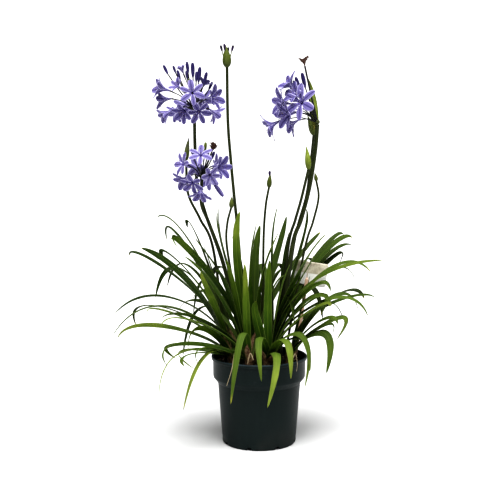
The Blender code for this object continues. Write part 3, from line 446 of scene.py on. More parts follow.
def card_paint(wire):
    """Plain cream card with a mottled warm band along the top, a paler field below and a brown edge
    line, all faded by weather."""
    spot = wire.add("ShaderNodeTexCoord", out=2)
    across = wire.add("ShaderNodeSeparateXYZ", {}, {"Vector": spot}, out=0)
    up = wire.add("ShaderNodeSeparateXYZ", {}, {"Vector": spot}, out=1)
    mottle = wire.noise(90.0, 5.0)
    band = (up + mottle * 0.06).step(0.52, 0.56)
    colour = (mottle * 0.5).mix((0.80, 0.80, 0.76, 1.0), (0.66, 0.64, 0.58, 1.0))
    cream = mottle.step(0.35, 0.7).mix((0.40, 0.36, 0.27, 1.0), (0.62, 0.58, 0.46, 1.0))
    specks = wire.noise(420.0, 3.0).step(0.60, 0.68) * 0.5
    cream = specks.mix(cream, (0.16, 0.13, 0.09, 1.0))
    colour = band.mix(colour, cream)
    edge = across.step(0.40, 0.42) * (1 - across.step(0.43, 0.45)) * (1 - band) * 0.7
    colour = edge.mix(colour, (0.33, 0.20, 0.08, 1.0))
    return {"Base Color": colour, "Roughness": 0.38 + mottle * 0.2, "Bump": (mottle, 0.0004)}


def pole(grid, row):
    """A row of the grid drawn together into its middle point, as a row of its own."""
    return grid[row].mean(axis=0) + 0 * grid[:1]


def slab(centre, across, up, face, width, height, thick, bend, corner, columns, rows):
    """Thin bent card: a grid in (u, v) with its corners pulled in along a superellipse, bowed by
    bend * 4u^2 towards its back, its front and back sheets meeting in a rounded edge."""
    v = np.linspace(-0.5, 0.5, rows)[:, None]
    u = np.linspace(-0.5, 0.5, columns)[None, :]
    pull = (1 - np.clip((np.abs(2 * v) - (1 - corner)) / corner, 0, 1) ** 2) ** 0.5
    inner = 1 - corner * height / width * (1 - pull)
    u = u * inner
    edge = np.minimum(1.0, np.minimum(1 - np.abs(2 * u / inner), 1 - np.abs(2 * v) + 0 * u) / 0.02 + 0.3)
    flat = centre + across * (u * width)[..., None] + up * ((v + 0 * u) * height)[..., None]
    bow = (-bend * 4 * u * u + 0 * v)[..., None]
    front = flat + face * (bow - (thick / 2 * edge)[..., None])
    back = flat + face * (bow + (thick / 2 * edge)[..., None])
    loop = np.concatenate([front, back[:, ::-1]], axis=1)
    spots = np.stack([np.concatenate([u + 0.5 + 0 * v, (u + 0.5 + 0 * v)[:, ::-1]], axis=1),
                      np.repeat(v + 0.5, 2 * columns, axis=1)], axis=-1)
    return (np.concatenate([pole(loop, 0), loop, pole(loop, -1)]),
            np.concatenate([spots[:1], spots, spots[-1:]]), (0, 0, 0, 0))


stake_hole = Vector((STAKE_FOOT[0] * CM, STAKE_FOOT[1] * CM, HOLE_BOTTOM))
stake_top = place(*STAKE_TOP, STAKE_DEPTH)
stake_way = (stake_top - stake_hole).normalized()
stake_foot = stake_hole + stake_way * 2.2 * MM
card_across = Vector((1.0, -0.25, 0.0)).normalized()
card_across = (card_across - stake_way * card_across.dot(stake_way)).normalized()
card_face = card_across.cross(stake_way)
stake_way, card_across, card_face = (np.array(way) for way in (stake_way, card_across, card_face))
card_sheet = slab(np.array(place(*CARD_CENTRE, STAKE_DEPTH)), card_across, stake_way, card_face,
                  *CARD_SIZE, CARD_THICKNESS, CARD_BEND, CARD_CORNER, 25, 19)
skin("label_card", [card_sheet], finish("card", card_paint), ["plant_label"])


def stake_paint(wire):
    """Bare sheet plastic, pinkish beige, soiled towards the ground."""
    height = wire.add("ShaderNodeSeparateXYZ", {}, {"Vector": wire.add("ShaderNodeTexCoord", out=3)}, out=2)
    dirt = (1 - height.step(0.2, 0.3)) * wire.noise(140.0).step(0.3, 0.7)
    colour = dirt.mix((0.60, 0.42, 0.30, 1.0), (0.16, 0.10, 0.06, 1.0))
    return {"Base Color": colour, "Roughness": 0.45 + dirt * 0.3}


stake_length = (stake_top - stake_foot).length
stake_sheet = slab(np.array(stake_foot.lerp(stake_top, 0.5)), card_across, stake_way, card_face,
                   STAKE_WIDTH, stake_length, STAKE_THICKNESS, 0.0, 0.02, 7, 40)
skin("label_stake", [stake_sheet], finish("stake_plastic", stake_paint), ["plant_label"])


# The flower stems: ten leafless scapes, round and solid, each grown from a crown of its own. Seven
# end in a closed head, its buds wrapped in two green bracts that meet along a seam in a beak.
SCAPES = {
    "a": ((-4.4, 6.4), 3.9, [(-9.0, 45.0), (-13.3, 57.5), (-15.4, 66.0), (-15.8, 74.0), (-15.9, 82.4)], 6),
    "b": ((-3.6, 1.6), 3.4, [(-5.0, 49.0), (-6.3, 62.8), (-7.0, 70.5), (-7.7, 80.0), (-7.9, 93.4)], 2),
    "c": ((-4.3, -0.9), 3.9, [(-8.6, 44.0), (-12.4, 55.0), (-14.3, 60.0), (-14.2, 66.0)], -4),
    "d": ((-4.4, -3.6), 2.6, [(-6.6, 40.0), (-8.1, 50.0), (-7.9, 55.2), (-6.9, 59.2)], -5),
    "e": ((0.4, 1.7), 2.7, [(0.9, 40.0), (1.1, 52.5), (1.6, 59.6), (2.4, 64.2)], 2),
    "f": ((5.2, -2.6), 4.6, [(8.0, 48.4), (10.4, 56.3), (12.4, 64.3), (13.7, 73.0), (14.2, 79.4)], -3),
    "g": ((4.7, 0.6), 3.2, [(7.1, 48.8), (8.9, 56.0), (10.3, 61.0), (12.1, 68.6)], -7),
    "h": ((7.0, 0.8), 2.6, [(11.2, 48.4), (13.3, 55.6), (14.6, 61.5), (14.0, 65.8)], 7),
    "i": ((-8.4, -0.4), 3.0, [(-11.4, 48.5), (-14.7, 56.3), (-17.6, 62.6), (-18.0, 70.8)], 1),
    "j": ((5.6, 2.9), 3.0, [(8.6, 50.0), (11.6, 62.0), (12.7, 71.0), (13.3, 77.0)], 2),
}
# Length and width in mm, lean of the tip, paleness and purple of the head's skin
BUD_HEADS = {
    "b": (56, 22, (-0.02, 1.0), 0.40, 0.0),
    "d": (30, 12, (0.02, 1.0), 0.35, 0.1),
    "e": (38, 13, (0.06, 1.0), 0.40, 0.1),
    "g": (60, 15, (-0.08, 1.0), 0.90, 0.0),
    "h": (24, 10, (-0.16, 1.0), 0.45, 0.3),
    "i": (62, 13, (0.10, 1.0), 0.42, 0.9),
    "j": (54, 17, (-0.30, 1.0), 0.40, 0.1),
}
# Tips of buds that show beside a bract that opens: across, behind, up and thickness in mm
BUD_TIPS = {
    "b": [(-15.5, 0, 54, 6.0), (-6.5, -6, 57, 5.6), (15.5, 0, 54, 6.0), (3, 9, 50, 5.6), (-2, 10, 46, 5.6)],
    "e": [(1.5, 0, 42, 6.5)],
}
BRACT = ((14.4, 78.2, -2.75), (14.7, 86.8, 0.5), (11.1, 91.6, -0.6))
BRACT_WIDTH = 21 * MM
BRACT_ARMS = ((-1.0, -0.2), (-0.5, 0.45))
BRACT_THICKNESS = 1.2 * MM


def smooth(points, steps):
    """Catmull-Rom curve through the points a, b, c, d in turn, for t from 0 to 1 between b and c:
    0.5 (2b + (c - a) t + (2a - 5b + 4c - d) t^2 + (3b - a - 3c + d) t^3)."""
    points = np.array([tuple(point) for point in points])
    ends = np.concatenate([2 * points[:1] - points[1:2], points, 2 * points[-1:] - points[-2:-1]])
    a, b, c, d = (ends[first:first + len(points) - 1, None] for first in range(4))
    t = np.linspace(0.0, 1.0, steps, endpoint=False)[:, None]
    line = 0.5 * (2 * b + (c - a) * t + (2 * a - 5 * b + 4 * c - d) * t ** 2
                  + (3 * b - a - 3 * c + d) * t ** 3)
    return np.concatenate([line.reshape(-1, 3), points[-1:]])


def scape_line(name, steps):
    """Line of a stem: upright out of its hole, then smooth through the places judged."""
    foot, _, places, top_depth = SCAPES[name]
    points = [Vector((foot[0] * CM, foot[1] * CM, SOIL_LEVEL + 0.045))]
    for number, (across, up) in enumerate(places):
        share = ((number + 1) / len(places)) ** 0.9
        points.append(place(across, up, foot[1] + (top_depth - foot[1]) * share))
    low = [(foot[0] * CM, foot[1] * CM, height) for height in (HOLE_BOTTOM + 0.0003, SOIL_LEVEL + 0.008)]
    return np.concatenate([low, smooth(points, steps)])


def upright(axis):
    """Turn that takes the Z axis to the axis given."""
    return np.array(Vector(axis).to_track_quat("Z", "Y").to_matrix())


def spindle(start, tip, width, sides, rings, belly, beak=0.0, ridge=0.0):
    """Bud form from start to tip. Its radius is width/2 * sin(phi) for phi from 0 to pi, its height
    share 1 - (1 - h)^p with h = (1 - cos(phi)) / 2 and p set so that it is widest at the share belly.
    A beak narrows the top by 1 - beak * share^3 and two ridges lift the seams."""
    start, tip = np.array(tuple(start)), np.array(tuple(tip))
    phi = np.linspace(0.0, math.pi, rings + 1)[:, None]
    angle = np.linspace(0.0, math.tau, sides, endpoint=False)[None, :]
    share = 1 - ((1 + np.cos(phi)) / 2) ** (math.log(1 - belly) / math.log(0.5))
    radius = width / 2 * np.sin(phi) * (1 - beak * share ** 3) * (1 + ridge * np.abs(np.cos(angle)) ** 10)
    radius[0], radius[-1] = 0.0, 0.0
    local = np.stack(np.broadcast_arrays(radius * np.cos(angle), radius * np.sin(angle),
                                         share * np.linalg.norm(tip - start)), axis=-1)
    uv = np.stack(np.broadcast_arrays(angle / math.tau, share), axis=-1)
    return start + local @ upright(tip - start).T, uv


def stem_paint(wire):
    """Green stalk and bract: trait red makes it pale, green purple, blue dry and brown. Fine ribs run
    along it, blotches vary the green, and the gloss breaks up with them."""
    spot = wire.add("ShaderNodeTexCoord", out=2)
    across = wire.add("ShaderNodeSeparateXYZ", {}, {"Vector": spot}, out=0)
    trait = wire.add("ShaderNodeAttribute", {"attribute_name": "trait"})
    pale = wire.add("ShaderNodeSeparateColor", {}, {"Color": trait}, out=0)
    purple = wire.add("ShaderNodeSeparateColor", {}, {"Color": trait}, out=1)
    dry = wire.add("ShaderNodeSeparateColor", {}, {"Color": trait}, out=2)
    blotch = wire.noise(55.0, 5.0)
    speck = wire.noise(500.0, 2.0)
    ribs = wire.maths("SINE", across * (math.tau * 14), 0.0) * 0.5 + 0.5
    green = pale.mix((0.007, 0.012, 0.003, 1.0), (0.19, 0.25, 0.028, 1.0))
    light = pale.mix((0.018, 0.025, 0.007, 1.0), (0.33, 0.40, 0.080, 1.0))
    colour = (blotch.step(0.3, 0.75) * 0.7 + ribs * 0.3).mix(green, light)
    colour = (purple * blotch.step(0.25, 0.6)).mix(colour, (0.045, 0.022, 0.090, 1.0))
    colour = (dry * 0.9).mix(colour, (0.20, 0.11, 0.05, 1.0))
    rough = 0.38 + blotch * 0.2 + dry * 0.3
    return {"Base Color": colour, "Roughness": rough, "Specular IOR Level": 0.25,
            "Bump": (ribs + speck * 0.5, 0.0003)}


def bud_head(name, end):
    """Sheets of the closed head on a stem that ends at the point given: the wrapped spindle, drawn
    aside by 0.045 * length * share^4, and the tips of buds beside it on their stalks."""
    length, width, lean, paleness, purpleness = BUD_HEADS[name]
    way = np.array((lean[0], 0.0, lean[1])) / math.hypot(*lean)
    start = end - way * 3 * MM
    grid, uv = spindle(start, start + way * length * MM, width * MM, 32, 28, 0.33, 0.62, 0.09)
    aside = np.array((1.0 if lean[0] >= 0 else -1.0, 0.0, 0.0))
    grid = grid + aside * (uv[..., 1:] ** 4 * 0.045 * length * MM)
    stain = purpleness * np.clip(uv[..., 1] * 1.6 - 0.5, 0.0, 1.0)
    trait = np.stack([np.full_like(stain, paleness) * (0.55 + 0.60 * uv[..., 1]), stain,
                      np.clip(uv[..., 1] * 8 - 7.2, 0.0, 0.7), 0 * stain], axis=-1)
    sheets = [(grid, uv, trait)]
    for across, behind, up, thick in BUD_TIPS.get(name, ()):
        tip = start + np.array((across, behind, up)) * MM
        root = start + way * length * MM * 0.34 + np.array((across, behind, 0.0)) * 0.42 * MM
        line = smooth([root, root * 0.45 + tip * 0.55, tip - (tip - root) * 0.1], 6)
        sheets.append((*tube(line, np.full(13, 1.1 * MM), 8), (0.45, 0.0, 0.0, 0)))
        bud = spindle(tip - (tip - root) * 0.46, tip, thick * MM, 14, 12, 0.66)
        sheets.append((*bud, (0.05, 1.0, 0.0, 0)))
    return sheets


def bract():
    """The split bract of stem f as a closed skin. Its middle line is the quadratic Bezier curve of
    BRACT, and from it two arms go off, near and far, so that its section is a V. They swell by
    0.25 + 0.75 sin(pi (1.25 t + 0.12)) and run out at the tip; their edges curl and wave a little."""
    foot, belly, tip = (np.array(place(*spot)) for spot in BRACT)
    near, far = (np.array((*arm_way, 0.0)) for arm_way in BRACT_ARMS)
    t = np.linspace(0.0, 1.0, 29)[:, None]
    c = np.linspace(-1.0, 1.0, 13)[None, :]
    middle = foot * (1 - t) ** 2 + belly * 2 * t * (1 - t) + tip * t * t
    arm = BRACT_WIDTH * (0.25 + 0.75 * np.sin(math.pi * np.minimum(t * 1.25 + 0.12, 1.0)))
    arm = arm * np.minimum(1.0, (1 - t) * 3.6) ** 0.8
    near_part, far_part = np.maximum(-c, 0.0)[..., None], np.maximum(c, 0.0)[..., None]
    spread = arm[..., None] * (near * near_part + far * far_part)
    curl = 0.10 * arm * np.sin(math.pi * np.abs(c)) + 0.0004 * np.sin(c * 21) * (1 - t)
    thick = BRACT_THICKNESS / 2 * (1 - 0.8 * c * c) * np.minimum(1.0, (1 - t) * 12)
    sheet = middle[:, None] + spread + curl[..., None] * np.array((0.4, -1.0, 0.0))
    skins = [sheet + side * np.array((1.0, 0.0, 0.0)) * thick[..., None] for side in (1, -1)]
    grid = np.concatenate([skins[0], skins[1][:, ::-1]], axis=1)
    grid = np.concatenate([pole(grid, 0), grid])
    u = np.concatenate([c, c[:, ::-1]], axis=1) / 2 + 0.5
    uv = np.stack(np.broadcast_arrays(u, np.concatenate([t[:1], t])), axis=-1)
    dry = np.clip((uv[..., 1] - 0.86) * 6, 0.0, 0.8) + 0.25 * (np.abs(uv[..., 0] - 0.5) > 0.46)
    dry = np.maximum(dry, np.clip(0.55 - uv[..., 1] * 3.2, 0.0, 1.0))
    return grid, uv, np.stack([0.62 + 0 * dry, 0 * dry, dry, 0 * dry], axis=-1)


stem_finish = finish("stem_skin", stem_paint)
for name, (_, stem_radius, _, _) in SCAPES.items():
    stem_line = scape_line(name, 12)
    stem_radii = stem_radius * MM * (1.16 - 0.14 * np.linspace(0.0, 1.0, len(stem_line)))
    sheets = [(*tube(stem_line, stem_radii, 16), (0.06, 0.0, 0.0, 0))]
    if name in BUD_HEADS:
        sheets += bud_head(name, stem_line[-1])
    if name == "f":
        sheets.append(bract())
    skin("stem_" + name, sheets, stem_finish, ["scape_" + name])


# The open flower heads: three umbels. Thin stalks spread from a knob at the top of the stem, each with
# a funnel of six violet-blue tepals or a club-shaped bud, and in each funnel stand six stamens.
FLORETS = {
    "a": [
        (-8.2, 5.2, -1.0, 0.30, 1.15),
        (-8.0, 2.6, 1.2, 0.30, 1.10),
        (-4.0, 5.7, -3.2, 0.40, 0.75),
        (-0.1, 4.0, -6.6, 1.00, 1.0),
        (2.4, 6.6, 1.6, 0.45, 0.80),
        (4.9, 2.9, -2.4, 0.40, 1.15),
        (-2.4, -0.8, -5.4, 0.35, 1.0),
        (1.5, -0.9, -5.0, 0.80, 1.0),
        (-6.8, -1.1, -2.6, 0.05, 1.0),
        (-3.0, 9.8, -0.6, 0.05, 0.60),
        (5.0, -0.8, 3.6, 0.50, 1.0),
        (-3.0, 1.0, 6.4, 0.60, 1.0),
        (1.8, 2.6, 6.6, 0.60, 1.0),
        (-5.0, -0.6, 4.4, 0.45, 0.95),
    ],
    "c": [
        (0.0, 5.6, -3.6, 1.00, 1.0),
        (-4.6, 3.2, -2.8, 0.85, 1.0),
        (4.8, 2.3, -2.8, 0.45, 1.15),
        (-4.4, -0.8, -2.4, 0.45, 1.05),
        (-2.0, -1.6, -5.0, 0.80, 1.0),
        (-0.2, -4.0, -2.6, 0.40, 1.1),
        (2.4, 0.4, -5.0, 0.60, 0.9),
        (3.6, 2.8, 3.2, 0.60, 0.95),
        (-1.6, 2.2, 4.6, 0.60, 0.95),
        (1.4, -1.0, 5.4, 0.60, 0.95),
    ],
    "f": [
        (-7.0, 9.0, -0.6, 0.50, 1.05),
        (-9.0, 4.6, -1.8, 0.55, 1.15),
        (-4.6, 4.6, -5.6, 1.00, 1.25),
        (-7.6, 1.6, -3.6, 0.50, 1.15),
        (-11.4, -1.0, 0.4, 0.55, 1.15),
        (-6.4, -0.6, -1.2, 0.50, 0.95),
        (-6.4, 6.4, 3.2, 0.60, 1.0),
        (-7.0, 2.2, 2.2, 0.60, 1.0),
        (-5.6, 6.6, -3.4, 0.55, 0.95),
        (-8.4, 3.4, 2.6, 0.55, 1.0),
    ],
}
BUDS = {
    "a": [
        (-7.7, 11.0, 0.5, 26), (-5.1, 10.7, -1.6, 20), (-1.9, 11.9, 1.2, 30), (-0.3, 11.5, -1.2, 38),
        (1.4, 10.6, 1.0, 40), (3.2, 9.2, -0.8, 32), (-4.4, 9.9, 2.4, 26), (0.4, 9.6, 3.2, 28),
        (4.4, 7.0, 2.6, 24), (-2.2, 9.8, 3.0, 24), (-1.2, 7.6, -1.6, 20),
    ],
    "c": [
        (1.8, 6.6, -1.0, 22), (3.2, 6.1, -2.2, 22), (3.0, 8.0, 0.8, 24), (5.3, -4.7, -1.8, 44),
        (-2.6, 6.8, 1.4, 22), (3.4, -1.4, -2.2, 30), (3.6, -2.6, 2.2, 26), (1.0, 8.3, 0.2, 26),
    ],
    "f": [
        (-5.4, 10.6, -1.2, 34), (-3.9, 11.6, -1.4, 38), (-3.5, 15.2, -0.6, 22), (-5.8, 10.0, 2.0, 26),
    ],
}
# Which bud of a head is withered, which is pale and about to open, and which are still green
WITHERED = {"c": 2, "f": 2}
PALE_BUD = {"c": 3}
GREEN_BUDS = {"a": (10,), "c": (7,)}
# How much larger than in the solids the florets of a head are, judged to fill it as seen
FULLNESS = {"a": 1.12, "c": 1.06, "f": 1.22}
KNOB_RADIUS = 5.6 * MM
STALK_ROOT = KNOB_RADIUS * 0.74
PEDICEL_RADIUS = 1.45 * MM
TUBE_LENGTH = 15.5 * MM
THROAT_RADIUS = 5.4 * MM
TEPAL_LENGTH = 25 * MM
TEPAL_WIDTH = 13.5 * MM
CRUMPLED_TEPALS = 12


def petal_paint(wire):
    """Violet-blue tepal: trait red pales it, green darkens it into a bud, blue withers it. A dark
    stripe runs down its middle, the edges are pale, and long thin streaks mark the cells."""
    spot = wire.add("ShaderNodeTexCoord", out=2)
    across = wire.add("ShaderNodeSeparateXYZ", {}, {"Vector": spot}, out=0)
    along = wire.add("ShaderNodeSeparateXYZ", {}, {"Vector": spot}, out=1)
    trait = wire.add("ShaderNodeAttribute", {"attribute_name": "trait"})
    pale = wire.add("ShaderNodeSeparateColor", {}, {"Color": trait}, out=0)
    closed = wire.add("ShaderNodeSeparateColor", {}, {"Color": trait}, out=1)
    withered = wire.add("ShaderNodeSeparateColor", {}, {"Color": trait}, out=2)
    aside = wire.maths("ABSOLUTE", across * 2 - 1, 0.0)
    stripe = 1 - aside.step(0.05, 0.30)
    edge = aside.step(0.66, 0.90)
    stretched = wire.add("ShaderNodeMapping", {}, {"Vector": spot, "Scale": (26.0, 2.0, 1.0)})
    streak = wire.noise(1.0, 4.0, stretched)
    cloud = wire.noise(60.0, 3.0)
    body = (pale * 0.6 + cloud * 0.4).mix((0.085, 0.066, 0.235, 1.0), (0.25, 0.215, 0.44, 1.0))
    colour = (edge * 0.72 + streak.step(0.5, 0.8) * 0.22).mix(body, (0.60, 0.57, 0.80, 1.0))
    colour = (stripe * 0.75).mix(colour, (0.030, 0.020, 0.135, 1.0))
    colour = ((1 - along.step(0.10, 0.34)) * 0.55).mix(colour, (0.036, 0.024, 0.12, 1.0))
    bud = along.step(0.0, 1.0).mix((0.060, 0.048, 0.17, 1.0), (0.020, 0.012, 0.085, 1.0))
    colour = closed.mix(colour, bud)
    colour = withered.mix(colour, streak.mix((0.050, 0.026, 0.026, 1.0), (0.15, 0.085, 0.055, 1.0)))
    rough = 0.50 + streak * 0.2
    return {"Base Color": colour, "Roughness": rough, "Specular IOR Level": 0.25,
            "Bump": (streak + stripe * 0.6, 0.0003)}


def tepal(base, turn, angle, inner, opening, size, ruffle, bend):
    """One tepal as a closed skin, with its share of the funnel. Its middle line is the Catmull-Rom
    curve through base, throat, middle and tip in (radius, height); across it the skin lies on circles
    round the funnel's axis, so that six meet below the throat. The free part swells, the more so the
    less it is open, and ends in a rounded point; its edges wave by ruffle * sin and its tip bends."""
    flare = math.radians(24 + 52 * opening)
    curl = flare + math.radians(16)
    lift = 0.0 if inner else -0.7 * MM
    mid_r = THROAT_RADIUS + TEPAL_LENGTH * 0.52 * math.sin(flare)
    mid_z = TUBE_LENGTH + TEPAL_LENGTH * 0.52 * math.cos(flare) + lift
    tip_r = mid_r + TEPAL_LENGTH * 0.48 * math.sin(curl)
    tip_z = mid_z + TEPAL_LENGTH * 0.48 * math.cos(curl) - bend
    line = smooth([(1.0 * MM, 0.0, 0.0), (2.0 * MM, 0.0, TUBE_LENGTH * 0.36),
                   (THROAT_RADIUS * 0.94, 0.0, TUBE_LENGTH * 0.98), (mid_r, 0.0, mid_z),
                   (tip_r, 0.0, tip_z)], 5)
    radius, height = line[:, :1], line[:, 2:]
    share = np.linspace(0.0, 1.0, len(line))[:, None]
    free = np.clip((share - 0.5) / 0.5, 0.0, 1.0)
    c = np.linspace(-1.0, 1.0, 7)[None, :]
    wide = TEPAL_WIDTH / 2 * (1.12 if inner else 0.86) * (1.25 - 0.25 * opening)
    joined = radius * math.pi / 6 * 1.03
    grown = np.clip(free / 0.42, 0.0, 1.0)
    grown = grown * grown * (3 - 2 * grown)
    outline = wide * np.sqrt(np.clip(1 - (np.clip(free - 0.42, 0, 1) / 0.58) ** 2.4, 0.0, 1.0))
    half = np.where(free > 0, np.minimum(joined, 2.5 * MM) * (1 - grown) + outline * grown, joined)
    slope = np.gradient(line[:, [0, 2]], axis=0)
    slope /= np.linalg.norm(slope, axis=1, keepdims=True)
    wave = ruffle * free * np.abs(c) ** 2 * np.sin(share * 31 + c * 2 + angle * 5) - 0.35 * MM * np.exp(
        -(c / 0.22) ** 2) * free
    loop = []
    for side in (1, -1):
        thick = side * (0.10 + 0.16 * (1 - c * c)) * MM + wave
        r = radius - slope[:, 1:] * thick
        z = height + slope[:, :1] * thick
        turned_by = angle + half * c / np.maximum(radius, half * 0.6)
        sheet = np.stack([r * np.cos(turned_by), r * np.sin(turned_by), z + 0 * c], axis=-1)
        loop.append(sheet[:, ::side])
    grid = np.concatenate(loop, axis=1)
    grid = np.concatenate([pole(grid, 0), grid, pole(grid, -1)])
    u = np.concatenate([c, c[:, ::-1]], axis=1) / 2 + 0.5
    uv = np.stack(np.broadcast_arrays(u, np.concatenate([[[0.0]], share, [[1.0]]])), axis=-1)
    return base + (grid * size) @ turn.T, uv


def stamen_paint(wire):
    """Violet filament, trait red marks its anther: dark brown, dusted with ochre pollen."""
    trait = wire.add("ShaderNodeAttribute", {"attribute_name": "trait"})
    anther = wire.add("ShaderNodeSeparateColor", {}, {"Color": trait})
    pollen = wire.noise(900.0, 2.0).step(0.45, 0.65)
    dusted = pollen.mix((0.050, 0.028, 0.040, 1.0), (0.30, 0.20, 0.05, 1.0))
    colour = anther.mix((0.30, 0.24, 0.62, 1.0), dusted)
    return {"Base Color": colour, "Roughness": 0.5 + pollen * 0.3}


def unit(way):
    """The way given, one long."""
    return way / np.linalg.norm(way)


def stamen(base, turn, angle, opening, size, draw):
    """Sheets of a filament and its anther. The filament leans out and bends aside by a share of t^2."""
    t = np.linspace(0.0, 1.0, 8)[:, None]
    lean = math.radians(10 + 9 * opening) * draw.uniform(0.7, 1.2)
    length = TEPAL_LENGTH * draw.uniform(0.70, 0.86)
    r = 1.6 * MM + length * t * math.sin(lean)
    z = TUBE_LENGTH * 0.6 + length * t
    curve = np.concatenate([r * math.cos(angle), r * math.sin(angle), z], axis=1)
    curve[:, :2] += 2.2 * MM * (t ** 2) * draw.uniform(-0.5, 0.5, 2)
    curve = base + (curve * size) @ turn.T
    filament = tube(curve, np.linspace(0.42, 0.25, 8) * MM, 4)
    arm = turn @ np.array((math.cos(angle + 1.3), math.sin(angle + 1.3), 0.5)) * 1.3 * MM
    anther = spindle(curve[-1] - arm, curve[-1] + arm, 1.5 * MM, 6, 5, 0.5)
    return [(*filament, (0, 0, 0, 0)), (*anther, (1, 0, 0, 0))]


def open_floret(knob, row, fullness, spin, draw):
    """Stalk, six tepals and six stamens of a floret. The stalk bows up on its way from the knob, and
    the funnel nods, the more so the less it points up."""
    across, up, depth, opening, size = row
    size *= fullness
    mouth = knob + np.array((across, depth, up)) * CM
    way = unit(mouth - knob)
    axis = unit(way + np.array((0.0, -0.12, -0.45 * (1 - 0.6 * max(way[2], 0.0)))))
    base = mouth - axis * (TUBE_LENGTH + 4 * MM) * size
    reach = np.linalg.norm(base - knob)
    out = unit(np.array((way[0], way[1], max(way[2], -0.1))))
    bow = knob + (base - knob) * 0.5 + (out - way) * reach * 0.3 + np.array((0, 0, 0.10 * reach))
    line = smooth([knob + out * STALK_ROOT, bow, base + axis * 1.5 * MM], 8)
    swell = 0.85 + 0.55 * np.clip(np.linspace(-4.0, 1.0, len(line)), 0, 1)
    stalk = (*tube(line, PEDICEL_RADIUS * swell, 8), (0.05, 0.35, 0.0, 0))
    turn = upright(axis)
    paleness = draw.uniform(0.1, 0.9)
    petals, stamens = [], []
    for number in range(6):
        angle = spin + math.tau * number / 6
        skin_of_one = tepal(base, turn, angle, number % 2, opening, size,
                            draw.uniform(0.2, 0.6) * MM, draw.uniform(-1.0, 2.5) * MM)
        petals.append((*skin_of_one, (paleness, 0.0, 0.0, 0)))
        stamens += stamen(base, turn, angle, opening, size, draw)
    return stalk, petals, stamens


def closed_bud(name, knob, number, draw):
    """Stalks and petals of a bud, which stands straight off its stalk. A green one is counted with
    the stalks, and a withered one has crumpled tepals on a stouter stalk."""
    across, up, depth, length = BUDS[name][number]
    withered = number == WITHERED.get(name)
    tip = knob + np.array((across, depth, up)) * CM
    way = unit(tip - knob)
    axis = unit(way + np.array((0.0, 0.0, 0.35 if up > 0 else -0.35)))
    root = tip - axis * length * MM
    start = knob + unit(np.array((way[0], way[1], max(way[2], -0.1)))) * STALK_ROOT
    end = root + axis * 2 * MM
    sag = np.array((0.0, 0.0, 0.03 if up > 0 else 0.0)) * np.linalg.norm(end - start)
    line = smooth([start, (start + end) / 2 - sag, end], 6)
    radius = PEDICEL_RADIUS * (1.5 if withered else 1.0)
    stalks, petals = [(*tube(line, np.full(13, radius), 8), (0.05, 0.35, 0.0, 0))], []
    if withered:
        turn = upright(axis)
        for tepal_number in range(CRUMPLED_TEPALS):
            angle = math.tau * tepal_number / CRUMPLED_TEPALS
            skin_of_one = tepal(root, turn, angle, tepal_number % 2, draw.uniform(-0.15, 0.35),
                                draw.uniform(0.52, 0.74), 1.4 * MM, draw.uniform(-3.0, 5.0) * MM)
            petals.append((*skin_of_one, (0.5, 0.0, 1.0, 0)))
        return stalks, petals
    bud = spindle(root, tip, length * 0.19 * MM + 3.0 * MM, 16, 16, 0.66, 0.18)
    if number in GREEN_BUDS.get(name, ()):
        stalks.append((*bud, (0.40, 0.0, 0.0, 0)))
    elif number == PALE_BUD.get(name):
        petals.append((*bud, (1.0, 0.15, 0.0, 0)))
    else:
        petals.append((*bud, (0.5, 1.0, 0.0, 0)))
    return stalks, petals


petal_finish = finish("petal", petal_paint)
stamen_finish = finish("stamen", stamen_paint)
petal_draw = np.random.default_rng(23)
for name, florets in FLORETS.items():
    rise = np.array((0.0, 0.0, KNOB_RADIUS))
    knob = scape_line(name, 2)[-1] + rise + np.array((0.0, 0.0, 0.7 * MM))
    spin_draw = random.Random(name)
    stalks = [(*spindle(knob - rise, knob + rise, KNOB_RADIUS * 2, 24, 16, 0.5), (0.2, 0.15, 0.0, 0))]
    petals, stamens = [], []
    for row in florets:
        spin = spin_draw.uniform(0.0, math.tau / 6)
        stalk, tepals, threads = open_floret(knob, row, FULLNESS[name], spin, petal_draw)
        stalks.append(stalk)
        petals += tepals
        stamens += threads
    for number in range(len(BUDS[name])):
        bud_stalks, tepals = closed_bud(name, knob, number, petal_draw)
        stalks += bud_stalks
        petals += tepals
    skin("stalks_" + name, stalks, stem_finish, ["bloom_" + name])
    skin("florets_" + name, petals, petal_finish, ["bloom_" + name])
    skin("stamens_" + name, stamens, stamen_finish, ["bloom_" + name])


# The leaves: nine fans of strap leaves, each from a short neck of overlapping leaf bases. A leaf rises
# in a gutter, arches over and ends in a blunt point; old ones yellow and brown at the tip.
NECK_RADIUS = 0.0098
NECKS = {
    "left_front": (-6.5, -3.0, 4.5),
    "left_back": (-6.5, 2.2, 5.5),
    "front_left": (-2.5, -6.0, 4.0),
    "middle": (-2.0, -1.2, 6.0),
    "back": (-1.4, 4.4, 6.0),
    "front_right": (2.2, -5.2, 4.5),
    "right": (2.8, -0.4, 5.5),
    "right_back": (3.2, 5.2, 5.0),
    "far_right": (7.2, -2.6, 4.5),
}
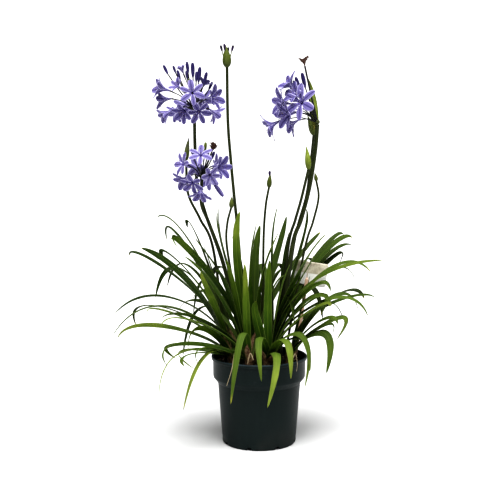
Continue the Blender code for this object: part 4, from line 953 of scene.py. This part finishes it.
# Leaves listed, those seen one by one and ten that fill the clump: width in mm, roll in degrees,
# point passed and tip (across, up) and judged depth of the tip in cm
LEAVES = {
    "left_front": [
        (19, 50, (-19, 42.4), (-29.4, 49), -6),
        (14, 25, (-22.6, 34.4), (-37, 26.5), -9),
        (17, 40, (-24.5, 29.6), (-35.6, 26.1), -13),
        (12, 20, (-22, 32.9), (-27.8, 32.1), -15),
        (14, 30, (-19.2, 22.9), (-25.3, 9.4), -15),
        (16, 45, (-14.6, 29), (-17.8, 22.1), -13),
        (13, 10, (-13, 22.5), (-19.2, 7.6), -18),
        (12, 35, (-18.6, 23.4), (-16.3, 18.3), -9),
        (12, 15, (-16.5, 22.4), (-18.8, 19), -19),
        (15, 30, (-11.6, 36), (-14.6, 43), -8),
    ],
    "left_back": [
        (14, 25, (-18, 51.9), (-25.3, 56.6), 6),
        (14, 26, (-19.4, 51.6), (-22.9, 50.8), 1),
        (13, 35, (-24.6, 44.9), (-32.2, 47), 1),
        (14, 30, (-22, 36.7), (-36.2, 32.4), 3),
        (12, 20, (-25.3, 34.4), (-30.7, 29.1), 8),
        (13, 40, (-20.8, 46.4), (-23.4, 45.2), 12),
        (13, 25, (-20.6, 25), (-21, 21), 6),
        (13, 30, (-15.4, 52), (-17.8, 54), 10),
        (15, 25, (-10.8, 41), (-13.8, 49.6), 5),
    ],
    "front_left": [
        (16, 5, (-4.3, 27.3), (-7.2, 9.1), -19),
        (15, 10, (-16.4, 30.8), (-24.6, 29.4), -19),
        (13, 25, (-12.8, 24), (-15.4, 19.6), -14),
        (14, 30, (-15.6, 31.6), (-24.8, 31), -17),
        (18, 15, (-8, 39.6), (-11, 43.1), -9),
        (13, 40, (-19.2, 25), (-22.7, 18.4), -17),
        (15, 20, (-11.5, 40), (-18.6, 46.9), -11),
        (16, 30, (-5.8, 37), (-8.2, 46), -8),
        (15, -20, (-3.2, 36), (-3.6, 45), -10),
    ],
    "middle": [
        (17, 10, (-5.5, 47), (-4.8, 58), -5),
        (16, 25, (-8.6, 48), (-10.3, 57.8), -3),
        (18, 60, (-2.4, 44), (-0.6, 55.3), -6),
        (15, 35, (-17.6, 48.9), (-20.4, 49.2), -4),
        (15, 20, (0.6, 42), (4.9, 53.1), -7),
        (16, 30, (-4.4, 42), (-6.6, 52), -7),
    ],
    "back": [
        (17, 15, (-8, 46), (-10, 59.4), 7),
        (16, 20, (-1, 45), (0.2, 54.7), 10),
        (15, 30, (-11, 45), (-15.8, 51.4), 13),
        (15, 25, (3.8, 46), (6.7, 56.9), 12),
        (14, 15, (9, 46), (15.1, 53), 17),
    ],
    "front_right": [
        (15, 5, (0.1, 26.4), (0.6, 15.1), -19),
        (16, 10, (4.4, 21.6), (2.1, 8.3), -19),
        (17, 0, (6.4, 26), (8, 15.8), -17),
        (17, 70, (-0.8, 31.4), (-0.8, 35.6), -8),
        (15, 25, (9.4, 27.6), (12.8, 17.6), -13),
        (15, 20, (13, 33.7), (17.6, 34.3), -14),
        (12, 15, (10.6, 26.4), (11.5, 13.6), -17),
        (16, 35, (4.6, 36), (7.6, 45), -8),
        (15, -25, (2.2, 36), (2.6, 46), -7),
    ],
    "right": [
        (19, 10, (2.9, 47), (4.5, 59.4), 0),
        (19, 35, (11.6, 46.4), (16, 51.8), -3),
        (15, 35, (13.6, 41.2), (30.7, 46), -5),
        (16, 30, (12.8, 39.1), (17.8, 38.2), -8),
        (15, 25, (17.2, 36.4), (27.2, 31.9), -9),
        (13, 25, (14.4, 36.9), (15.3, 32), -12),
        (16, -30, (5.6, 42), (7.4, 53), -2),
        (15, 30, (9.4, 40), (13.4, 47), -6),
    ],
    "right_back": [
        (15, 30, (15.8, 47.8), (23.1, 51.5), 6),
        (14, 30, (17, 43.8), (27.7, 43), 3),
        (14, 30, (16, 49.4), (20.8, 51.2), 10),
        (15, 20, (15.4, 46), (23, 49.6), 13),
        (14, 25, (10.2, 49.6), (11.5, 58.7), 5),
        (13, 20, (19, 35.8), (28.8, 36.6), 8),
        (12, 25, (17.3, 46.1), (19.6, 44.6), 16),
    ],
    "far_right": [
        (18, 40, (15.8, 27.8), (16.9, 17.2), -11),
        (14, 30, (19.6, 31.6), (19.4, 25.9), -7),
        (13, 30, (15.4, 31), (19.6, 29.9), -10),
        (13, 20, (16.3, 29.8), (18.2, 27), -1),
        (14, 25, (18.4, 37), (24.8, 33), 3),
        (13, 20, (15.6, 35), (21.4, 30), 9),
        (15, 30, (10.4, 34), (12.6, 42), -6),
    ],
}
# Leaves of the back and the inside, drawn by a seeded rule: how many more each fan has
MORE_LEAVES = {
    "left_back": 2,
    "front_left": 2,
    "back": 7,
    "front_right": 2,
    "right": 2,
    "right_back": 5,
    "far_right": 1,
    "left_front": 1,
}
LEAF_SEED = 11
# Steps in which a leaf swings in depth (cm) and rolls (degrees) until it has room, and tries in all
DEPTH_STEP = 0.55
ROLL_STEP = 4
TRIES = 90
# How far below the neck's top a leaf starts, how far out, and the share of its way at which it passes
# the point judged, with its share of the depth there; how steeply it leaves the neck
LEAF_ROOT_DEPTH = 2.6 * CM
LEAF_ROOT_REACH = 4.5 * MM
PASS_SHARE = 0.6
PASS_DEPTH_SHARE = 0.58
RISE_UP = 0.62
RISE_OUT = 0.10
LEAF_BREADTH = 1.38
LEAF_CHANNEL = 0.16
LEAF_ROWS = 34


def leaf_paint(wire):
    """Strap leaf: trait red takes its green from dark to yellow-green and carries painted light, lighter
    for leaves to the front and darker for those to the back and towards the foot; green turns the tip
    yellow and brown, blue marks the underside, which is greyer. Fine veins run its whole length beside
    a pale middle vein, its margins are painted pale as a highlight and its foot bleached. Long blotches
    and small brown specks break up the green and the gloss."""
    spot = wire.add("ShaderNodeTexCoord", out=2)
    across = wire.add("ShaderNodeSeparateXYZ", {}, {"Vector": spot}, out=0)
    along = wire.add("ShaderNodeSeparateXYZ", {}, {"Vector": spot}, out=1)
    trait = wire.add("ShaderNodeAttribute", {"attribute_name": "trait"})
    # Trait red is each leaf's tone with painted light in it: lighter towards the front of the clump, darker
    # towards the back and towards the leaf's foot.
    tone_and_painted_light = wire.add("ShaderNodeSeparateColor", {}, {"Color": trait}, out=0)
    ageing = wire.add("ShaderNodeSeparateColor", {}, {"Color": trait}, out=1)
    under = wire.add("ShaderNodeSeparateColor", {}, {"Color": trait}, out=2)
    aside = wire.maths("ABSOLUTE", across * 2 - 1, 0.0)
    middle = 1 - aside.step(0.02, 0.13)
    veins = wire.maths("SINE", across * (math.tau * 17), 0.0) * 0.5 + 0.5
    stretched = wire.add("ShaderNodeMapping", {}, {"Vector": spot, "Scale": (5.0, 3.0, 1.0)})
    stripes = wire.noise(4.0, 5.0, stretched)
    blotch = wire.noise(22.0, 5.0)
    speck = wire.noise(260.0, 3.0)
    shade = tone_and_painted_light * 0.86 + blotch * 0.34 + stripes * 0.28 - 0.32
    colour = wire.add("ShaderNodeValToRGB", {"stops": [
        (0.0, (0.002, 0.014, 0.001)), (0.35, (0.015, 0.054, 0.002)), (0.62, (0.090, 0.155, 0.012)),
        (0.85, (0.320, 0.390, 0.060)), (1.0, (0.480, 0.530, 0.130)),
    ]}, {"Fac": shade})
    colour = (veins * 0.14 + middle * 0.24).mix(colour, (0.27, 0.36, 0.045, 1.0))
    # Painted highlight: both margins of every leaf are mixed towards a pale yellow-green.
    colour = (aside.step(0.86, 1.0) * 0.45).mix(colour, (0.36, 0.44, 0.13, 1.0))
    colour = (under * 0.40).mix(colour, (0.090, 0.125, 0.034, 1.0))
    colour = ((1 - along.step(0.02, 0.16)) * 0.6).mix(colour, (0.20, 0.24, 0.07, 1.0))
    yellow = (ageing + blotch * 0.25 - 0.12).step(0.15, 0.55)
    colour = (yellow * 0.6).mix(colour, (0.40, 0.38, 0.06, 1.0))
    brown = (ageing + stripes * 0.3 - 0.15).step(0.62, 0.80)
    colour = brown.mix(colour, (0.16, 0.085, 0.035, 1.0))
    spots = speck.step(0.70, 0.76) * blotch.step(0.5, 0.6) * 0.6
    colour = spots.mix(colour, (0.14, 0.09, 0.03, 1.0))
    rough = 0.36 + blotch * 0.16 + brown * 0.3 + under * 0.1
    relief = veins * 0.5 + stripes * 0.6 - middle * 0.8
    return {"Base Color": colour, "Roughness": rough, "Specular IOR Level": 0.14,
            "Bump": (relief, 0.0005)}


def drawn_leaves(draw, fan, count):
    """Leaf rows for the back and the inside of a fan, in the same terms as LEAVES. A leaf goes
    out within 0.8 radian of its crown's direction from the middle, or else anywhere to the back."""
    x, y, _ = NECKS[fan]
    rows = []
    for _ in range(count):
        way = math.atan2(y + 1.5, x) + draw.uniform(-0.8, 0.8)
        if math.sin(way) < 0.1:
            way = draw.uniform(0.15, math.pi - 0.15)
        reach = draw.uniform(12, 26)
        crest = draw.uniform(34, 45)
        drop = draw.uniform(-2, 16) * (reach / 26)
        through = (x + 0.62 * reach * math.cos(way), crest)
        tip = (x + reach * math.cos(way), crest - drop)
        rows.append((draw.uniform(12, 16), draw.uniform(-35, 35), through, tip, y + reach * math.sin(way)))
    return rows


def settled(row, corners):
    """A leaf's row where the leaf found room. At try n its tip is (n + 1) // 2 steps behind the judged
    depth when n is odd, before it when even, and from try 5 on it is rolled by n mod 5 - 2 steps. The
    try is the one whose tip is nearest to a corner of the fan's solid."""
    width, roll, through, tip, depth = row
    tries = np.arange(TRIES)
    depths = depth + (tries + 1) // 2 * np.where(tries % 2, DEPTH_STEP, -DEPTH_STEP)
    tips = np.array([place(*tip, deep) for deep in depths])
    gaps = np.linalg.norm(tips[:, None] - corners[None], axis=2).min(axis=1)
    found = int(gaps.argmin())
    return width, roll + (found % 5 - 2) * ROLL_STEP * (found > 4), through, tip, depths[found]


def strap(fan, row, draw):
    """One leaf as a closed skin. Its middle line is the cubic Bezier curve from the neck that passes
    the point judged at t = PASS_SHARE, its section a gutter of depth channel * |c|^1.5 with c from -1
    to 1 across. Its half width is w/2 * (0.74 + 0.26 sin(pi (1.15 t + 0.12))), drawn in at the foot
    by 0.66 + 2.4 t and at the tip by (5.5 (1 - t))^0.55, and its edges wave a little."""
    x, y, high = NECKS[fan]
    width, roll, through, tip, depth = row
    over = np.array(place(*through, y + (depth - y) * PASS_DEPTH_SHARE))
    goal = np.array(place(*tip, depth))
    way = unit(np.array((over[0] - x * CM, over[1] - y * CM, 0.0)))
    foot = np.array((x * CM, y * CM, SOIL_LEVEL + high * CM - LEAF_ROOT_DEPTH)) + way * LEAF_ROOT_REACH
    climb = max(over[2] - foot[2], 2 * CM)
    lift = foot + np.array((0, 0, climb * RISE_UP)) + way * climb * RISE_OUT
    share, rest = PASS_SHARE, 1 - PASS_SHARE
    bend = over - foot * rest ** 3 - lift * (3 * rest ** 2 * share) - goal * share ** 3
    bend = bend / (3 * rest * share ** 2)
    t = 1 - (1 - np.linspace(0.0, 1.0, LEAF_ROWS)) ** 1.3
    s = (1 - t)[:, None]
    q = t[:, None]
    line = foot * s ** 3 + lift * (3 * s * s * q) + bend * (3 * s * q * q) + goal * q ** 3
    along = 3 * ((lift - foot) * s * s + (bend - lift) * 2 * s * q + (goal - bend) * q * q)
    along /= np.linalg.norm(along, axis=1, keepdims=True)
    side = unit(np.array((-(goal - foot)[1], (goal - foot)[0], 0.0)))
    across = side - along * (along @ side)[:, None]
    across /= np.linalg.norm(across, axis=1, keepdims=True)
    turn = (math.radians(roll) * np.minimum(1.0, t * 1.6))[:, None]
    turned_across = across * np.cos(turn) + np.cross(along, across) * np.sin(turn)
    normal = np.cross(turned_across, along)
    half = width * LEAF_BREADTH * MM / 2
    half = half * (0.74 + 0.26 * np.sin(math.pi * np.minimum(t * 1.15 + 0.12, 1.0)))
    half *= np.minimum(1.0, (1.0 - t) * 5.5) ** 0.55 * np.minimum(1.0, 0.66 + 2.4 * t)
    c = np.linspace(-1.0, 1.0, 9)[None, :]
    half = half[:, None]
    t = t[:, None]
    gutter = half * 2 * LEAF_CHANNEL * (1 - 0.4 * t) * np.abs(c) ** 1.5
    phase, beat = draw.uniform(0, math.tau), draw.uniform(7, 13)
    wave = 0.55 * MM * np.sin(beat * t + phase + 1.7 * c) * np.abs(c) ** 2 * np.sin(math.pi * t)
    loop = []
    for face in (1, -1):
        thick = face * (0.12 + 0.42 * (1 - c * c)) * MM * (1.35 - 0.6 * t)
        keel = 0.45 * MM * np.exp(-(c / 0.12) ** 2) * (1 - t) * (face < 0)
        sheet = line[:, None] + turned_across[:, None] * (half * c)[..., None]
        sheet = sheet + normal[:, None] * (gutter + wave + thick - keel)[..., None]
        loop.append(sheet[:, ::face])
    grid = np.concatenate(loop, axis=1)
    grid = np.concatenate([pole(grid, 0), grid])
    grid[-1] = goal
    u = np.concatenate([c, c[:, ::-1]], axis=1) / 2 + 0.5
    v = np.concatenate([t[:1], t])
    uv = np.stack(np.broadcast_arrays(u, v), axis=-1)
    # Painted light: a leaf whose tip lies in front of its crown gets a lighter green and one further back a
    # darker one, on top of a random tone for each leaf.
    front = np.clip((y - depth) / 30 + 0.5, 0.0, 1.0)
    tone_and_painted_light = np.clip(0.12 + 0.70 * front + draw.uniform(-0.24, 0.24), 0.0, 1.0)
    old = 0.09 * draw.uniform(0.0, 1.0) ** 5
    ageing = np.clip((v - 0.994 + old) / (0.02 + old), 0.0, 1.0) + 0 * u
    underside = np.broadcast_to(np.concatenate([0 * c, 0 * c + 1], axis=1), ageing.shape)
    # Painted shade: the green darkens towards the leaf's foot, down inside the clump.
    shade = np.clip(tone_and_painted_light * (0.44 + 0.78 * v) + 0 * u, 0.0, 1.0)
    return grid, uv, np.stack([shade, ageing, underside, 0 * ageing], axis=-1)


def neck(fan):
    """Neck of a fan: leaf bases pressed together, as a narrowing tube whose radius waves by 7% in five
    ridges."""
    x, y, high = NECKS[fan]
    foot, top = HOLE_BOTTOM + 0.0003, SOIL_LEVEL + high * CM
    v = np.linspace(0.0, 1.0, 14)[:, None]
    angle = np.linspace(0.0, math.tau, 32, endpoint=False)[None, :]
    radius = NECK_RADIUS * (1 - 0.2 * v) * (1 + 0.07 * np.sin(angle * 5 + v * 1.5 + x) - 0.04)
    radius = radius * np.minimum(1.0, (1.0 - v) * 9) ** 0.5
    grid = np.stack(np.broadcast_arrays(x * CM + radius * np.cos(angle), y * CM + radius * np.sin(angle),
                                        foot + (top - foot) * v), axis=-1)
    grid = np.concatenate([pole(grid, 0), grid])
    uv = np.stack(np.broadcast_arrays(angle / math.tau, 0.14 * np.concatenate([v[:1], v])), axis=-1)
    return grid, uv, (0.45, 0.0, 0.0, 0)


leaf_finish = finish("leaf_skin", leaf_paint)
more_draw = random.Random(LEAF_SEED)
more_rows = {fan: drawn_leaves(more_draw, fan, count) for fan, count in MORE_LEAVES.items()}
leaf_draw = np.random.default_rng(41)
for fan, rows in LEAVES.items():
    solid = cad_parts["leaf_fan_" + fan].data
    corners = np.array([corner.co for corner in solid.vertices])
    rows = [settled(row, corners) for row in rows + more_rows.get(fan, [])]
    sheets = [neck(fan)] + [strap(fan, row, leaf_draw) for row in rows]
    skin("leaves_" + fan, sheets, leaf_finish, ["leaf_fan_" + fan])


# Dead stuff of the plant: dry sheaths round the crowns, which once were leaf bases, and straws of old
# roots and leaves that hang over the lip of the pot.
SHEATHS = 44
STRAWS_OVER_LIP = [
    [(-5.6, 20.6, -9.6), (-6.2, 22.3, -11.3), (-6.9, 18.2, -11.6), (-8.2, 14.0, -10.6)],
    [(-1.4, 20.6, -10.6), (-2.2, 22.4, -11.8), (-2.7, 20.8, -12.6), (-2.9, 19.6, -12.6)],
    [(8.2, 20.5, -7.6), (9.1, 22.3, -8.6), (9.6, 19.6, -8.9), (9.4, 17.8, -8.6)],
]


def sheath(x, y, draw):
    """Dry leaf base round a crown at (x, y) in cm: it spreads from the neck as v^2, curls by
    0.25 lean v^2 and narrows to a point by 1 - v^2.2."""
    turn = draw.uniform(0, math.tau)
    tall = draw.uniform(0.018, 0.100)
    v = np.linspace(0.0, 1.0, 9)[:, None]
    u = np.linspace(-1.0, 1.0, 7)[None, :]
    lean = draw.uniform(0.10, 0.50) * min(1.0, 0.05 / tall)
    radius = NECK_RADIUS * 1.06 + tall * lean * v ** 2 + 0.0006 * np.sin(u * 9 + v * 5)
    angle = turn + u * 0.85 * (1 - v ** 2.2) + v * draw.uniform(-0.5, 0.5)
    height = SOIL_LEVEL - 0.002 + tall * (v - 0.25 * lean * v ** 2) + 0 * u
    out = np.stack([np.cos(angle), np.sin(angle), 0 * angle], axis=-1)
    inner = out * radius[..., None] + np.stack([x * CM + 0 * height, y * CM + 0 * height, height], axis=-1)
    grid = np.concatenate([inner, (inner + out * 0.0003)[:, ::-1]], axis=1)
    return np.concatenate([pole(grid, 0), grid, pole(grid, -1)]), (0.0, 0.0), (0, 0, 0, 0)


sheath_draw = np.random.default_rng(7)
crowns = list(NECKS.values())
dead_sheets = [sheath(*crowns[number % len(crowns)][:2], sheath_draw) for number in range(SHEATHS)]
for points in STRAWS_OVER_LIP:
    line = smooth([place(across, up, depth) for across, up, depth in points], 6)
    dead_sheets.append((*tube(line, np.linspace(1.3, 0.6, len(line)) * MM, 6, 0.5), (1.0, 0, 0, 0)))
skin("dead_sheaths", dead_sheets, straw_finish)
